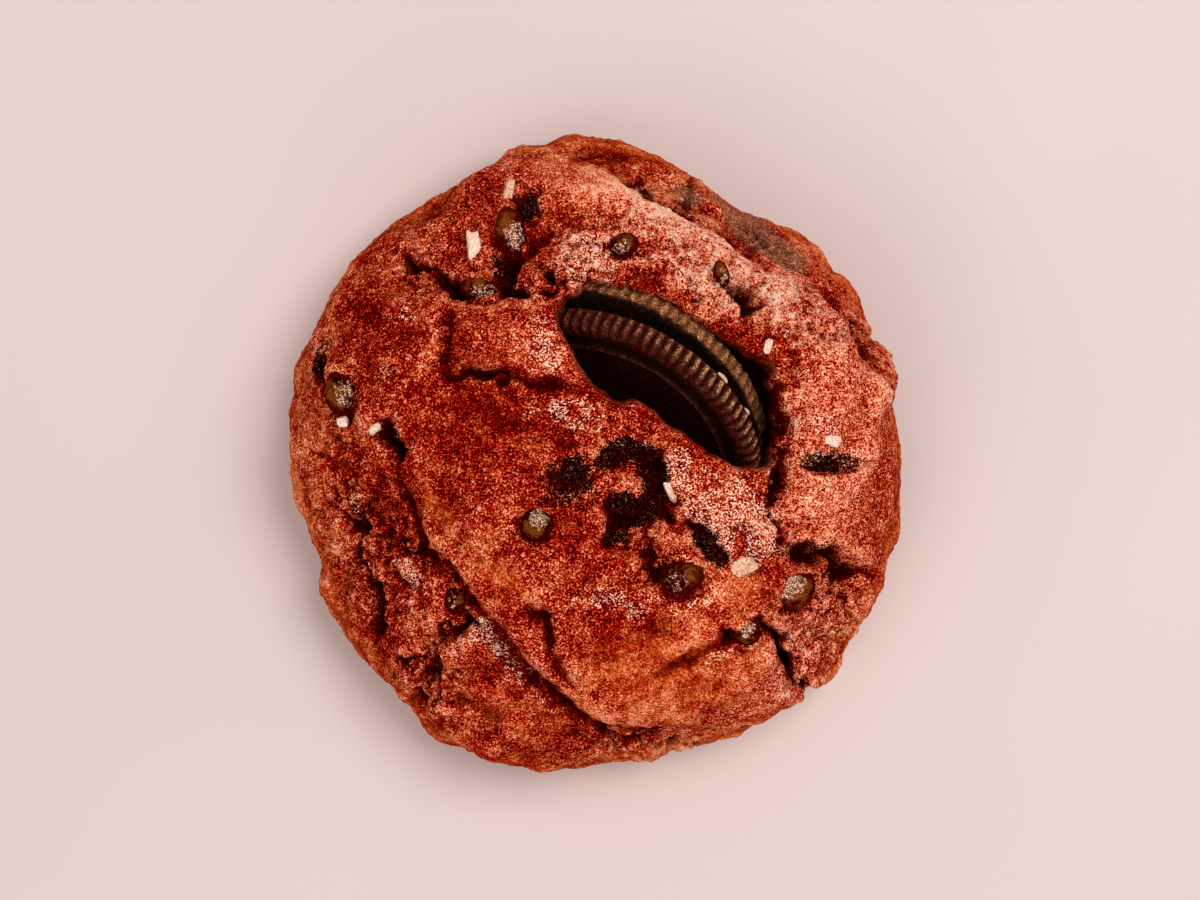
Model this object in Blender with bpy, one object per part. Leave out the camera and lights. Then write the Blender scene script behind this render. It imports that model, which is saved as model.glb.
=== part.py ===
"""A thick soft-baked cookie with a piece of a chocolate sandwich cookie baked into its top.

The dough is one solid: a low dome on a flat base, with an uneven outline, folds, cracks
and a deep slot. Two ridged wafers with cream between them stand on edge in the slot, and
chocolate chips, white chips and dark wafer crumbs sit in pockets of their own.
Metres, +Z up, origin at the centre of the base.
"""
import bisect
import itertools
import math

import bmesh
import bpy
from mathutils import Matrix, Vector
from mathutils.bvhtree import BVHTree

MM = 0.001
BITS_32 = 0xFFFFFFFF
BITS_24 = 0xFFFFFF

# ---- driving dimensions, in millimetres ------------------------------------------------

HEIGHT = 31.0            # top of the dome before its folds
WAIST = 9.5              # level of the widest outline
FOOT = 0.915             # size of the flat base, as a share of the outline
CROWN_RUN = 2.6          # how flat the dome is in plan
CROWN_RISE = 1.8         # how full the dome is in height
SECTION_STEPS = 120      # points in each quarter of the dome's section
AROUND = 92              # dough faces round the cookie
DOWN = 21                # dough faces from the middle of the top to the base's edge
BASE_RINGS = 3           # and from there to the middle of the base

# distance from the middle to the outline, every 15 degrees from +X
OUTLINE = (43.2, 44.0, 44.7, 43.6, 41.5, 44.3, 45.4, 45.4, 44.6, 45.2, 44.6, 45.7,
           45.8, 43.6, 46.2, 46.1, 47.8, 48.2, 46.5, 44.6, 45.7, 48.5, 47.6, 45.4)

UNEVENNESS = ((0.9, 9.0, 81), (0.7, 4.0, 82))    # height, size of a bump, seed
FOOT_FADE = 6.0          # the relief fades out below this level

CLEARANCE = 0.35         # gap between the dough and each thing baked into it

WAFER_RADIUS = 22.5
WAFER_THICK = 3.5
WAFER_BORDER = 3.0       # width of the ridged border
WAFER_RIDGES = 90        # on a whole wafer
RIDGE_DEPTH = 0.45
RING_RADIUS = 17.8       # thin raised ring inside the border
RING_RISE = 0.35
CREAM_THICK = 1.7
CREAM_RADIUS = 16.5
JOINT_GAP = 0.3          # between a wafer and the cream
WAFER_LEAN = 49.5        # degrees between the wafer's axis and the vertical
WAFER_TURN = -31.0       # degrees of the wafer's straight edge in plan
SANDWICH = (3.1, 3.4, 13.2)    # middle of the front wafer's inner face
BACK_SLIDE = -1.6        # the back wafer has slipped along the straight edge

# ---- the dough's relief ----------------------------------------------------------------

# broad swells and hollows: middle, half sizes, turn in degrees, rise
SWELLS = (
    ((33.0, 1.0), (9.0, 15.0), 4, 3.4),        # block on the right
    ((29.0, 19.5), (8.0, 6.0), -35, 2.4),      # shoulder above it
    ((-3.0, -10.0), (23.0, 16.0), -33, 1.6),   # main fold
    ((18.0, -9.5), (8.0, 9.0), 20, 1.2),       # its right end
    ((-12.0, 16.5), (8.5, 5.5), -5, 1.4),      # plate left of the wafers
    ((-1.5, 27.5), (6.0, 4.5), 15, 1.8),       # knoll behind their left end
    ((13.5, 26.5), (14.0, 4.5), -33, 2.4),     # strip behind them
    ((14.0, -31.5), (14.0, 7.0), 22, 2.2),     # lower right roll
    ((-31.0, -18.0), (10.0, 13.0), -10, -2.4), # lower left terrace
    ((-15.0, -36.0), (15.0, 7.0), -29, -1.6),  # bottom terrace
    ((34.0, -26.0), (8.0, 8.0), 0, -2.2),      # crumbling corner
    ((-33.0, 14.0), (8.0, 10.0), 30, 1.2),     # left cheek
    ((-9.0, -27.5), (3.0, 6.5), 38, 1.5),      # tongue beside the main fold
    ((20.0, -19.5), (4.0, 3.0), 0, 1.0),       # small smooth lump
    ((39.5, 10.2), (2.6, 5.0), -20, 1.8),      # knob on the right rim
    ((10.0, -10.5), (3.0, 3.0), 0, 1.0),       # red lump in the dark hollow
    ((24.9, 3.0), (1.8, 7.0), 4, -2.4),        # gap beside the block
    ((25.0, -5.0), (1.6, 5.0), 5, -2.0),       # and on below it
    ((31.5, -14.9), (5.0, 1.8), -6, -2.4),     # under the block
    ((27.0, -29.2), (1.8, 4.4), 28, -2.2),     # crack in the lower right
    ((-32.5, -22.8), (1.8, 3.6), 4, -1.8),     # crack in the lower left
    ((-13.2, 26.2), (1.9, 3.0), -15, -1.8),    # hole beside two chips
    ((5.4, -1.8), (4.2, 1.8), 10, -1.2),       # dark hollow, its top
    ((8.6, -5.0), (1.8, 4.0), 10, -1.2),       # and its right side
)

# folds: route in plan, which side stands high, rise, shoulder, run of the high side,
# drop, run of the low side, depth of the groove between them
FOLDS = (
    (((-5.3, 41.7), (0.4, 40.3), (6.1, 36.9), (11.0, 33.2), (16.7, 31.2), (22.4, 28.3),
      (27.4, 24.1), (32.3, 21.8), (35.6, 18.4), (37.6, 13.7), (40.1, 8.5), (41.3, 3.8)),
     -1, 1.6, 1.4, 5.0, 3.6, 7.0, 0.2),                                   # edge of the cap
    (((-29.6, 5.2), (-28.2, 0.9), (-27.2, -4.0), (-26.0, -9.0), (-24.4, -12.8),
      (-20.6, -17.0)), 1, 1.0, 1.4, 5.0, 0.7, 4.0, 0.6),                  # main fold, upper part
    (((-26.0, -9.0), (-24.2, -13.2), (-21.7, -15.6), (-18.4, -19.3), (-14.4, -23.6),
      (-10.0, -28.9), (-5.8, -33.4), (-2.1, -36.8), (2.0, -38.4), (7.4, -39.0),
      (13.1, -40.7)), 1, 2.2, 1.6, 7.0, 1.8, 6.0, 1.5),                   # its lower part
    (((-12.0, -21.8), (-8.8, -21.5), (-6.9, -23.2), (-6.4, -26.5), (-5.0, -30.5),
      (-1.7, -33.9)), 1, 1.3, 1.0, 4.0, 0.9, 3.0, 1.5),                   # tongue
    (((-22.5, 10.3), (-19.9, 10.8), (-15.7, 10.8), (-10.8, 10.3), (-5.9, 9.6),
      (-1.0, 8.6)), 1, 0.7, 0.9, 4.0, 0.5, 3.0, 1.2),                     # below the plate
    (((-20.6, 22.4), (-20.9, 19.1), (-20.8, 16.3), (-21.5, 13.5), (-22.0, 10.9)),
     -1, 0.6, 0.9, 4.0, 0.6, 3.0, 1.3),                                   # left of the plate
    (((6.3, -30.6), (10.0, -29.0), (13.8, -27.0), (17.0, -25.5), (20.9, -23.8)),
     1, 1.6, 1.6, 4.5, 1.2, 3.0, 0.3),                                    # over the roll
    (((25.8, -14.7), (30.0, -14.9), (34.0, -15.6), (37.9, -17.0), (42.5, -18.6)),
     1, 1.2, 1.2, 4.0, 2.0, 4.0, 1.6),                                    # under the block
    (((-4.5, 31.7), (-7.3, 29.9), (-10.8, 27.1)), 1, 0.8, 0.9, 3.0, 0.8, 3.0, 0.8),
)

GROOVE_WIDTH = 1.2
BRINK_SHARE = 0.3        # a fold's edge is this share of its drop wide

# cracks: route in plan, half width, depth
CRACKS = (
    (((-28.3, 28.4), (-26.9, 26.6), (-23.2, 25.9), (-21.2, 23.8), (-17.8, 22.4),
      (-13.6, 23.5), (-10.6, 22.1), (-7.3, 22.4), (-3.8, 23.1)), 0.9, 1.5),
    (((24.4, 3.0), (25.3, -2.0), (25.1, -5.4), (24.5, -9.6), (25.4, -13.5)), 1.1, 2.6),
    (((22.1, -23.8), (25.4, -26.2), (26.4, -29.0), (27.8, -31.5), (30.0, -34.5),
      (33.0, -37.5)), 1.2, 2.6),
    (((-36.3, -7.8), (-36.0, -11.3), (-36.2, -15.6), (-34.7, -18.2), (-33.3, -21.4),
      (-33.6, -24.5), (-32.4, -28.3)), 1.1, 2.2),
    (((-27.5, -38.5), (-25.2, -33.5), (-24.1, -30.0), (-21.9, -27.5), (-19.5, -25.7),
      (-18.3, -22.8)), 1.3, 2.6),
    (((-30.2, 4.2), (-28.8, 1.6), (-27.4, -1.5)), 1.6, 1.6),
    (((0.4, -2.6), (2.9, -0.4), (5.6, -0.5), (8.0, -2.4), (8.6, -5.2), (7.3, -7.5),
      (4.4, -8.9), (2.2, -11.3), (2.6, -13.0)), 1.5, 1.6),
    (((8.1, -6.8), (10.4, -9.6), (13.7, -11.2), (16.0, -13.5)), 1.5, 1.8),
    (((4.4, 38.8), (6.8, 37.9), (8.2, 36.3), (10.4, 34.8), (13.2, 33.3)), 1.0, 1.4),
    (((19.4, 22.7), (20.1, 21.1), (20.7, 18.9)), 1.2, 2.6),
    (((0.4, -39.7), (4.7, -41.8), (9.9, -42.6), (15.0, -42.0)), 1.0, 1.5),
    (((35.6, 18.4), (39.0, 17.0), (43.0, 16.4)), 1.2, 1.6),
    (((12.5, 34.5), (14.0, 38.5), (15.0, 41.0)), 1.2, 1.2),
)

# slot: its rim in plan, anticlockwise, and the level of its floor
SLOT_RIM = ((-5.8, 18.7), (-4.9, 15.4), (-3.3, 12.3), (-1.4, 9.8), (1.0, 7.7), (3.6, 6.7),
            (6.2, 6.4), (8.3, 4.6), (10.4, 2.6), (13.2, 0.7), (16.4, -1.1), (19.9, -2.4),
            (23.2, -2.8), (24.8, -1.4), (25.1, 3.0), (25.0, 8.4), (24.4, 12.0),
            (21.6, 13.6), (18.2, 15.6), (15.2, 17.7), (12.3, 19.8), (9.1, 21.5),
            (5.0, 22.8), (1.2, 23.6), (-1.8, 23.4), (-4.2, 21.8))
SLOT_FLOOR = 15.0

# ---- things baked into the top ---------------------------------------------------------

# place in plan, half sizes, turn in degrees, share of the height that stands proud
DARK_CHIPS = (
    ((-12.1, 31.1), (2.4, 3.4, 2.6), 14, 0.45),
    ((-16.0, 23.1), (3.0, 2.0, 2.2), -10, 0.35),
    ((-36.2, 8.3), (2.2, 3.1, 2.6), 8, 0.45),
    ((-8.3, -9.7), (2.0, 1.8, 2.3), 20, 0.50),
    ((12.0, -17.2), (3.0, 2.4, 2.6), 15, 0.50),
    ((4.0, 29.3), (2.2, 1.6, 2.0), 10, 0.35),
    ((17.7, 25.2), (1.3, 1.8, 1.8), 10, 0.45),
    ((28.0, -19.3), (3.3, 2.8, 2.6), 15, 0.45),
    ((21.3, -25.3), (2.0, 1.9, 2.2), 0, 0.40),
    ((-19.6, -20.7), (1.8, 2.2, 2.0), -25, 0.35),
    ((6.4, 37.2), (2.0, 1.2, 1.6), -35, 0.35),
)
WHITE_CHIPS = (
    ((-17.4, 29.2), (1.1, 2.4, 1.2), 2, 0.45),
    ((-12.6, 37.1), (0.9, 1.9, 1.0), -18, 0.35),
    ((-35.9, 4.3), (1.1, 0.9, 1.0), 0, 0.40),
    ((-31.0, 3.2), (1.1, 0.9, 1.0), 30, 0.40),
    ((10.3, -5.4), (0.7, 1.6, 1.0), 25, 0.40),
    ((20.6, -15.9), (1.7, 0.9, 1.0), 25, 0.35),
    ((32.8, 1.8), (1.5, 1.0, 1.0), 10, 0.35),
    ((24.0, 14.9), (0.9, 1.3, 1.0), -20, 0.40),
)
CRUMBS = (
    ((-2.8, -2.2), (3.4, 2.2, 1.6), 20, 0.22),
    ((4.4, -6.6), (2.6, 2.0, 1.8), 35, 0.25),
    ((2.6, -12.0), (1.9, 1.4, 1.4), 10, 0.30),
    ((15.2, -12.6), (2.0, 1.5, 1.6), -40, 0.30),
    ((31.8, -1.6), (3.0, 1.3, 1.5), -8, 0.25),
    ((-9.5, 34.6), (1.3, 1.9, 1.5), 25, 0.35),
    ((-39.6, 12.4), (1.2, 2.0, 1.5), -15, 0.35),
)

CHIP_TAPER = 0.25        # how much a chip narrows to its peak
BAR_SQUARENESS = 0.7     # 1 is a plain ball, less is squarer
CRUMB_ROUGHNESS = 0.2    # share of a crumb's size
DROP_FROM = 60.0         # above the whole cookie

COLOURS = {                     # name: base colour, roughness
    "baked_dough": ((0.34, 0.075, 0.030, 1.0), 0.62),
    "cocoa_wafer": ((0.030, 0.010, 0.007, 1.0), 0.48),
    "cream": ((0.86, 0.78, 0.66, 1.0), 0.55),
    "dark_chocolate": ((0.050, 0.018, 0.010, 1.0), 0.35),
    "white_chocolate": ((0.90, 0.74, 0.55, 1.0), 0.50),
    "wafer_crumb": ((0.020, 0.008, 0.006, 1.0), 0.80),
}


# ---- helpers ---------------------------------------------------------------------------

def clear_scene():
    for item in list(bpy.data.objects):
        bpy.data.objects.remove(item, do_unlink=True)


def new_collection(name):
    group = bpy.data.collections.new(name)
    bpy.context.scene.collection.children.link(group)
    return group


def new_material(name):
    colour, roughness = COLOURS[name]
    material = bpy.data.materials.new(name)
    material.use_nodes = True
    shader = material.node_tree.nodes["Principled BSDF"]
    shader.inputs["Base Color"].default_value = colour
    shader.inputs["Roughness"].default_value = roughness
    shader.inputs["Metallic"].default_value = 0.0
    material.diffuse_color = colour
    return material


def add_object(name, bm, group, material=None):
    """Turn a bmesh in millimetres into an object in metres."""
    bmesh.ops.scale(bm, vec=(MM, MM, MM), verts=bm.verts)
    mesh = bpy.data.meshes.new(name)
    bm.to_mesh(mesh)
    bm.free()
    thing = bpy.data.objects.new(name, mesh)
    group.objects.link(thing)
    if material is not None:
        mesh.materials.append(material)
    return thing


def ease(value, low, high):
    """0 below low, 1 above high, smooth between them."""
    share = min(max((value - low) / (high - low), 0.0), 1.0)
    return share * share * (3.0 - 2.0 * share)


def scatter(cell, seed):
    """A repeatable number from 0 to 1 for a cell (x, y, z), by mixing its bits."""
    mixed = cell[0] * 374761393 + cell[1] * 668265263 + cell[2] * 2246822519
    mixed = (mixed + seed * 3266489917) & BITS_32
    mixed = ((mixed ^ (mixed >> 15)) * 2654435761) & BITS_32
    mixed = ((mixed ^ (mixed >> 13)) * 3266489917) & BITS_32
    return ((mixed ^ (mixed >> 16)) & BITS_24) / BITS_24


def rough(point, size, seed):
    """Smooth random relief from -1 to 1, blended between the corners of cells."""
    cell = [math.floor(value / size) for value in point]
    share = [value / size - low for value, low in zip(point, cell)]
    share = [part ** 3 * (part * (part * 6.0 - 15.0) + 10.0) for part in share]
    total = 0.0
    for corner in itertools.product((0, 1), repeat=3):
        weight = math.prod(part if step else 1.0 - part for step, part in zip(corner, share))
        total += weight * scatter([low + step for low, step in zip(cell, corner)], seed)
    return 2.0 * total - 1.0


def catmull(points, share):
    """A smooth curve's point between the second and third of four points or numbers."""
    a, b, c, d = points
    return (b + (c - a) * (0.5 * share)
            + (a - b * 2.5 + c * 2.0 - d * 0.5) * share ** 2
            + (b * 1.5 - c * 1.5 + d * 0.5 - a * 0.5) * share ** 3)


def smooth_route(points, closed=False, per_span=5):
    """A smooth curve through a few points in plan."""
    knots = [Vector(point) for point in points]
    count = len(knots)
    route = []
    for index in range(count if closed else count - 1):
        if closed:
            four = [knots[(index + step) % count] for step in (-1, 0, 1, 2)]
        else:
            four = [knots[min(max(index + step, 0), count - 1)] for step in (-1, 0, 1, 2)]
        route += [catmull(four, step / per_span) for step in range(per_span)]
    if not closed:
        route.append(knots[-1])
    return route


def offset_from(route, place):
    """Distance from a route, positive on its left, and the share of the way along it."""
    nearest = None
    for index in range(len(route) - 1):
        start, end = route[index], route[index + 1]
        run = end - start
        share = min(max((place - start).dot(run) / run.length_squared, 0.0), 1.0)
        away = place - (start + run * share)
        if nearest is None or away.length < nearest[0]:
            side = 1.0 if run.x * away.y - run.y * away.x >= 0.0 else -1.0
            nearest = (away.length, side, (index + share) / (len(route) - 1))
    return nearest[0] * nearest[1], nearest[2]


def fade_ends(share):
    return ease(share, 0.0, 0.12) * ease(1.0 - share, 0.0, 0.12)


# ---- the dough -------------------------------------------------------------------------

FOLD_ROUTES = [smooth_route(fold[0]) for fold in FOLDS]
CRACK_ROUTES = [smooth_route(crack[0]) for crack in CRACKS]
SLOT_ROUTE = smooth_route(SLOT_RIM, closed=True, per_span=2)


def outline_radius(angle):
    """Smooth closed outline through the radii of OUTLINE."""
    turn = (angle / (2.0 * math.pi)) % 1.0 * len(OUTLINE)
    first = int(turn)
    four = [OUTLINE[(first + step) % len(OUTLINE)] for step in (-1, 0, 1, 2)]
    return catmull(four, turn - first)


def swell_rise(x, y):
    total = 0.0
    for (cx, cy), (half_x, half_y), turn, rise in SWELLS:
        cosine, sine = math.cos(math.radians(turn)), math.sin(math.radians(turn))
        along = ((x - cx) * cosine + (y - cy) * sine) / half_x
        across = ((y - cy) * cosine - (x - cx) * sine) / half_y
        total += rise * math.exp(-(along * along + across * across) ** 1.5)
    return total


def fold_relief(place):
    """Each fold lifts its high side, rounded at the lip, with a groove along it. Returns
    that, and how far the low side drops."""
    lift = 0.0
    fall = 0.0
    for route, fold in zip(FOLD_ROUTES, FOLDS):
        high, rise, shoulder, run, drop, low_run, groove = fold[1:]
        away, share = offset_from(route, place)
        away *= high
        fade = fade_ends(share)
        lift -= fade * groove * math.exp(-(away / GROOVE_WIDTH) ** 2)
        if away >= 0.0:
            lift += fade * rise * math.exp(-away / run) * (1.0 - math.exp(-away / shoulder))
        else:
            brink = BRINK_SHARE * drop
            fall += fade * drop * math.exp(away / low_run) * (1.0 - math.exp(away / brink))
    return lift, fall


def crack_depth(place):
    deepest = 0.0
    for route, (_, half_width, depth) in zip(CRACK_ROUTES, CRACKS):
        away, share = offset_from(route, place)
        deepest = max(deepest, depth * fade_ends(share) * math.exp(-(away / half_width) ** 2))
    return deepest


def plain_section():
    """The dome's section for an outline of 1: length so far, radius and level."""
    rows = []
    quarter = math.pi / 2.0
    for step in range(SECTION_STEPS + 1):
        slope = quarter * step / SECTION_STEPS
        radius = math.sin(slope) ** (2.0 / CROWN_RUN)
        rows.append((radius, WAIST + (HEIGHT - WAIST) * math.cos(slope) ** (2.0 / CROWN_RISE)))
    for step in range(1, SECTION_STEPS + 1):
        slope = quarter * step / SECTION_STEPS
        rows.append((1.0 - (1.0 - FOOT) * (1.0 - math.cos(slope)), WAIST * (1.0 - math.sin(slope))))
    length = 0.0
    section = [(0.0,) + rows[0]]
    for before, after in zip(rows, rows[1:]):
        length += math.hypot((after[0] - before[0]) * OUTLINE[0], after[1] - before[1])
        section.append((length,) + after)
    return section


SECTION = plain_section()


def crown_point(share, angle):
    """Plain dome: share of the way from the middle of the top to the base's edge."""
    length = min(max(share, 0.0), 1.0) * SECTION[-1][0]
    row = min(max(bisect.bisect_left(SECTION, (length,)), 1), len(SECTION) - 1)
    low, high = SECTION[row - 1], SECTION[row]
    part = (length - low[0]) / (high[0] - low[0])
    radius = outline_radius(angle) * (low[1] + (high[1] - low[1]) * part)
    level = low[2] + (high[2] - low[2]) * part
    return Vector((radius * math.cos(angle), radius * math.sin(angle), level))


def dough_point(share, angle):
    """The dome, moved along its own normal by the swells, folds, cracks and unevenness."""
    point = crown_point(share, angle)
    step = 0.01
    normal = Vector((0.0, 0.0, 1.0))
    if share > step:
        down = crown_point(share + step, angle) - crown_point(share - step, angle)
        along = crown_point(share, angle + step) - crown_point(share, angle - step)
        normal = down.cross(along).normalized()
    place = Vector((point.x, point.y))
    lift, fall = fold_relief(place)
    rise = swell_rise(point.x, point.y) + lift - crack_depth(place)
    for height, size, seed in UNEVENNESS:
        rise += height * rough(point, size, seed)
    spot = point + normal * (rise * ease(point.z, 0.0, FOOT_FADE))
    spot.z -= fall * ease(point.z, 2.0, 12.0)
    return spot


def make_dough(group, material):
    """A sphere's vertices carried to the dome, and its lowest rings to the flat base."""
    rings = DOWN + BASE_RINGS
    bm = bmesh.new()
    bmesh.ops.create_uvsphere(bm, u_segments=AROUND, v_segments=rings, radius=1.0)
    for vert in bm.verts:
        ring = round(math.acos(min(max(vert.co.z, -1.0), 1.0)) / math.pi * rings)
        angle = math.atan2(vert.co.y, vert.co.x)
        if ring <= DOWN:
            vert.co = dough_point(ring / DOWN, angle)
        else:
            edge = dough_point(1.0, angle)
            inward = (rings - ring) / BASE_RINGS
            vert.co = Vector((edge.x * inward, edge.y * inward, 0.0))
    return add_object("dough", bm, group, material)


def make_slot(cutters):
    """The opening round the wafers: its rim in plan carried down to the slot's floor."""
    bm = bmesh.new()
    rim = [bm.verts.new((point.x, point.y, SLOT_FLOOR)) for point in SLOT_ROUTE]
    floor = bm.faces.new(rim)
    parts = bmesh.ops.extrude_face_region(bm, geom=[floor], use_keep_orig=True)
    top = [part for part in parts["geom"] if isinstance(part, bmesh.types.BMVert)]
    bmesh.ops.translate(bm, vec=(0.0, 0.0, 2.0 * HEIGHT - SLOT_FLOOR), verts=top)
    bmesh.ops.recalc_face_normals(bm, faces=bm.faces)
    add_object("cut_slot", bm, cutters)


# ---- the sandwich cookie ---------------------------------------------------------------

def sandwich_frame(slide=0.0):
    """Local X runs along the straight edge, Y up the face, Z out of the front face."""
    turn = math.radians(WAFER_TURN)
    lean = math.radians(WAFER_LEAN)
    along = Vector((math.cos(turn), math.sin(turn), 0.0))
    flat = Vector((math.sin(turn), -math.cos(turn), 0.0))
    out = flat * math.sin(lean) + Vector((0.0, 0.0, math.cos(lean)))
    up = out.cross(along)
    frame = Matrix((along, up, out)).transposed().to_4x4()
    frame.translation = Vector(SANDWICH) + along * slide
    return frame


def half_turned(profile, steps, scallop=0.0):
    """A closed half disc: a section (radius, height) turned through 180 degrees.

    Radii outside the plain middle follow the ridges: every other step is cut in.
    """
    bm = bmesh.new()
    ring = [bm.verts.new((radius, 0.0, height)) for radius, height in profile]
    face = bm.faces.new(ring)
    bmesh.ops.spin(bm, geom=[face] + list(face.edges) + ring, cent=(0, 0, 0),
                   axis=(0, 0, 1), angle=math.pi, steps=steps, use_duplicate=False)
    bmesh.ops.remove_doubles(bm, verts=bm.verts, dist=1e-4)
    ridge_start = WAFER_RADIUS - WAFER_BORDER
    for vert in bm.verts:
        radius = math.hypot(vert.co.x, vert.co.y)
        if scallop and radius > ridge_start + 0.1:
            step = round(math.atan2(vert.co.y, vert.co.x) / math.pi * steps)
            if step % 2 == 0:
                share = (radius - scallop) / radius
                vert.co.x *= share
                vert.co.y *= share
    bmesh.ops.recalc_face_normals(bm, faces=bm.faces)
    return bm


def wafer_profile(front):
    """Section of a wafer from its inner face; the front one has the raised ring."""
    edge = WAFER_RADIUS
    top = WAFER_THICK
    border = edge - WAFER_BORDER
    field = top - 0.4
    section = [(0.0, 0.0), (edge - 0.2, 0.0), (edge, top - 0.9), (edge - 0.6, top),
               (border + 0.3, top), (border, field)]
    if front:
        section += [(RING_RADIUS + 0.5, field), (RING_RADIUS + 0.2, field + RING_RISE),
                    (RING_RADIUS - 0.2, field + RING_RISE), (RING_RADIUS - 0.5, field)]
    return section + [(0.0, field)]


def place_in_frame(bm, frame, height):
    bmesh.ops.translate(bm, vec=(0.0, 0.0, height), verts=bm.verts)
    bmesh.ops.transform(bm, matrix=frame, verts=bm.verts)


def half_cylinder(radius, low, high, steps):
    """A plain half disc that cuts the wafers' space, a little past its straight edge."""
    reach = radius / math.cos(math.pi / (2 * steps))
    bm = half_turned([(0.0, low), (reach, low), (reach, high), (0.0, high)], steps)
    for vert in bm.verts:
        if abs(vert.co.y) < 0.01:
            vert.co.y = -CLEARANCE
    return bm


def make_sandwich(group, cutters, wafer, cream):
    """Front wafer, cream and back wafer, each a half disc, and the spaces they need."""
    pitches = WAFER_RIDGES
    front = half_turned(wafer_profile(True), pitches, RIDGE_DEPTH)
    place_in_frame(front, sandwich_frame(), 0.0)
    add_object("wafer_front", front, group, wafer)

    back = half_turned(wafer_profile(False), pitches, RIDGE_DEPTH)
    bmesh.ops.rotate(back, cent=(0, 0, 0), matrix=Matrix.Rotation(math.pi, 3, "Y"),
                     verts=back.verts)
    back_level = -(CREAM_THICK + 2.0 * JOINT_GAP)
    place_in_frame(back, sandwich_frame(BACK_SLIDE), back_level)
    add_object("wafer_back", back, group, wafer)

    layer = half_turned([(0.0, 0.0), (CREAM_RADIUS, 0.0), (CREAM_RADIUS, CREAM_THICK),
                         (0.0, CREAM_THICK)], 24)
    place_in_frame(layer, sandwich_frame(BACK_SLIDE / 2.0), -(CREAM_THICK + JOINT_GAP))
    add_object("cream", layer, group, cream)

    spans = ((0.0, -0.5 * CREAM_THICK, WAFER_THICK + CLEARANCE),
             (BACK_SLIDE, back_level - WAFER_THICK - CLEARANCE, -0.4 * CREAM_THICK))
    for index, (slide, low, high) in enumerate(spans):
        space = half_cylinder(WAFER_RADIUS + CLEARANCE, low, high, 20)
        place_in_frame(space, sandwich_frame(slide), 0.0)
        add_object("cut_wafer_%d" % index, space, cutters)


# ---- chips and crumbs ------------------------------------------------------------------

def lump(half_sizes, turn, kind, seed, grow=0.0):
    """A small rounded body: a chip with a blunt peak, a bar, or a rough crumb."""
    bm = bmesh.new()
    if kind == "crumb":
        bmesh.ops.create_icosphere(bm, subdivisions=1, radius=1.0)
    else:
        bmesh.ops.create_uvsphere(bm, u_segments=8, v_segments=5, radius=1.0)
    for vert in bm.verts:
        spot = vert.co.copy()
        if kind == "crumb":
            spot *= 1.0 + CRUMB_ROUGHNESS * rough(vert.co + Vector((seed, 0.0, 0.0)), 0.7, 9)
        if kind == "bar":
            spot = Vector([math.copysign(abs(value) ** BAR_SQUARENESS, value) for value in spot])
        if kind == "chip" and spot.z > 0.0:
            spot.x *= 1.0 - CHIP_TAPER * spot.z
            spot.y *= 1.0 - CHIP_TAPER * spot.z
        for axis in range(3):
            spot[axis] *= half_sizes[axis] + grow
        vert.co = spot
    bmesh.ops.rotate(bm, cent=(0, 0, 0), matrix=Matrix.Rotation(math.radians(turn), 3, "Z"),
                     verts=bm.verts)
    bmesh.ops.recalc_face_normals(bm, faces=bm.faces)
    return bm


def set_in_dough(names, rows, kind, surface, groups, material):
    """Drop each lump on to the dough from above and sink it in a pocket of its own."""
    group, cutters = groups
    for index, ((x, y), half_sizes, turn, proud) in enumerate(rows):
        start = Vector((x, y, DROP_FROM)) * MM
        hit, normal, _, _ = surface.ray_cast(start, Vector((0.0, 0.0, -1.0)))
        middle = hit / MM + normal * (half_sizes[2] * (2.0 * proud - 1.0))
        tilt = Vector((0.0, 0.0, 1.0)).rotation_difference(normal).to_matrix()
        for label, grow, home in (("", 0.0, group), ("cut_", CLEARANCE, cutters)):
            bm = lump(half_sizes, turn, kind, 3.1 * index, grow)
            bmesh.ops.rotate(bm, cent=(0, 0, 0), matrix=tilt, verts=bm.verts)
            bmesh.ops.translate(bm, vec=middle, verts=bm.verts)
            finish = material if home is group else None
            add_object("%s%s_%02d" % (label, names, index + 1), bm, home, finish)


def cut_pockets(body, cutters):
    for cutter in cutters.objects:
        cutter.hide_render = True
        cutter.display_type = "WIRE"
        cut = body.modifiers.new(cutter.name, "BOOLEAN")
        cut.operation = "DIFFERENCE"
        cut.solver = "EXACT"
        cut.object = cutter


def centre_on_base(groups, body):
    """Move everything so that the origin is under the middle of the dough's outline."""
    spots = [vert.co for vert in body.data.vertices]
    shift = Vector((0.0, 0.0, 0.0))
    for axis in range(2):
        shift[axis] = -0.5 * (max(spot[axis] for spot in spots) + min(spot[axis] for spot in spots))
    for group in groups:
        for thing in group.objects:
            thing.location = shift


def main():
    clear_scene()
    group = new_collection("soft_baked_cookie")
    cutters = new_collection("pockets")
    looks = {name: new_material(name) for name in COLOURS}
    body = make_dough(group, looks["baked_dough"])
    surface = BVHTree.FromPolygons([vert.co for vert in body.data.vertices],
                                   [face.vertices for face in body.data.polygons])
    make_slot(cutters)
    make_sandwich(group, cutters, looks["cocoa_wafer"], looks["cream"])
    homes = (group, cutters)
    set_in_dough("chip", DARK_CHIPS, "chip", surface, homes, looks["dark_chocolate"])
    set_in_dough("white_chip", WHITE_CHIPS, "bar", surface, homes, looks["white_chocolate"])
    set_in_dough("wafer_crumb", CRUMBS, "crumb", surface, homes, looks["wafer_crumb"])
    cut_pockets(body, cutters)
    centre_on_base(homes, body)


main()
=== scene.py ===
import math

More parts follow.
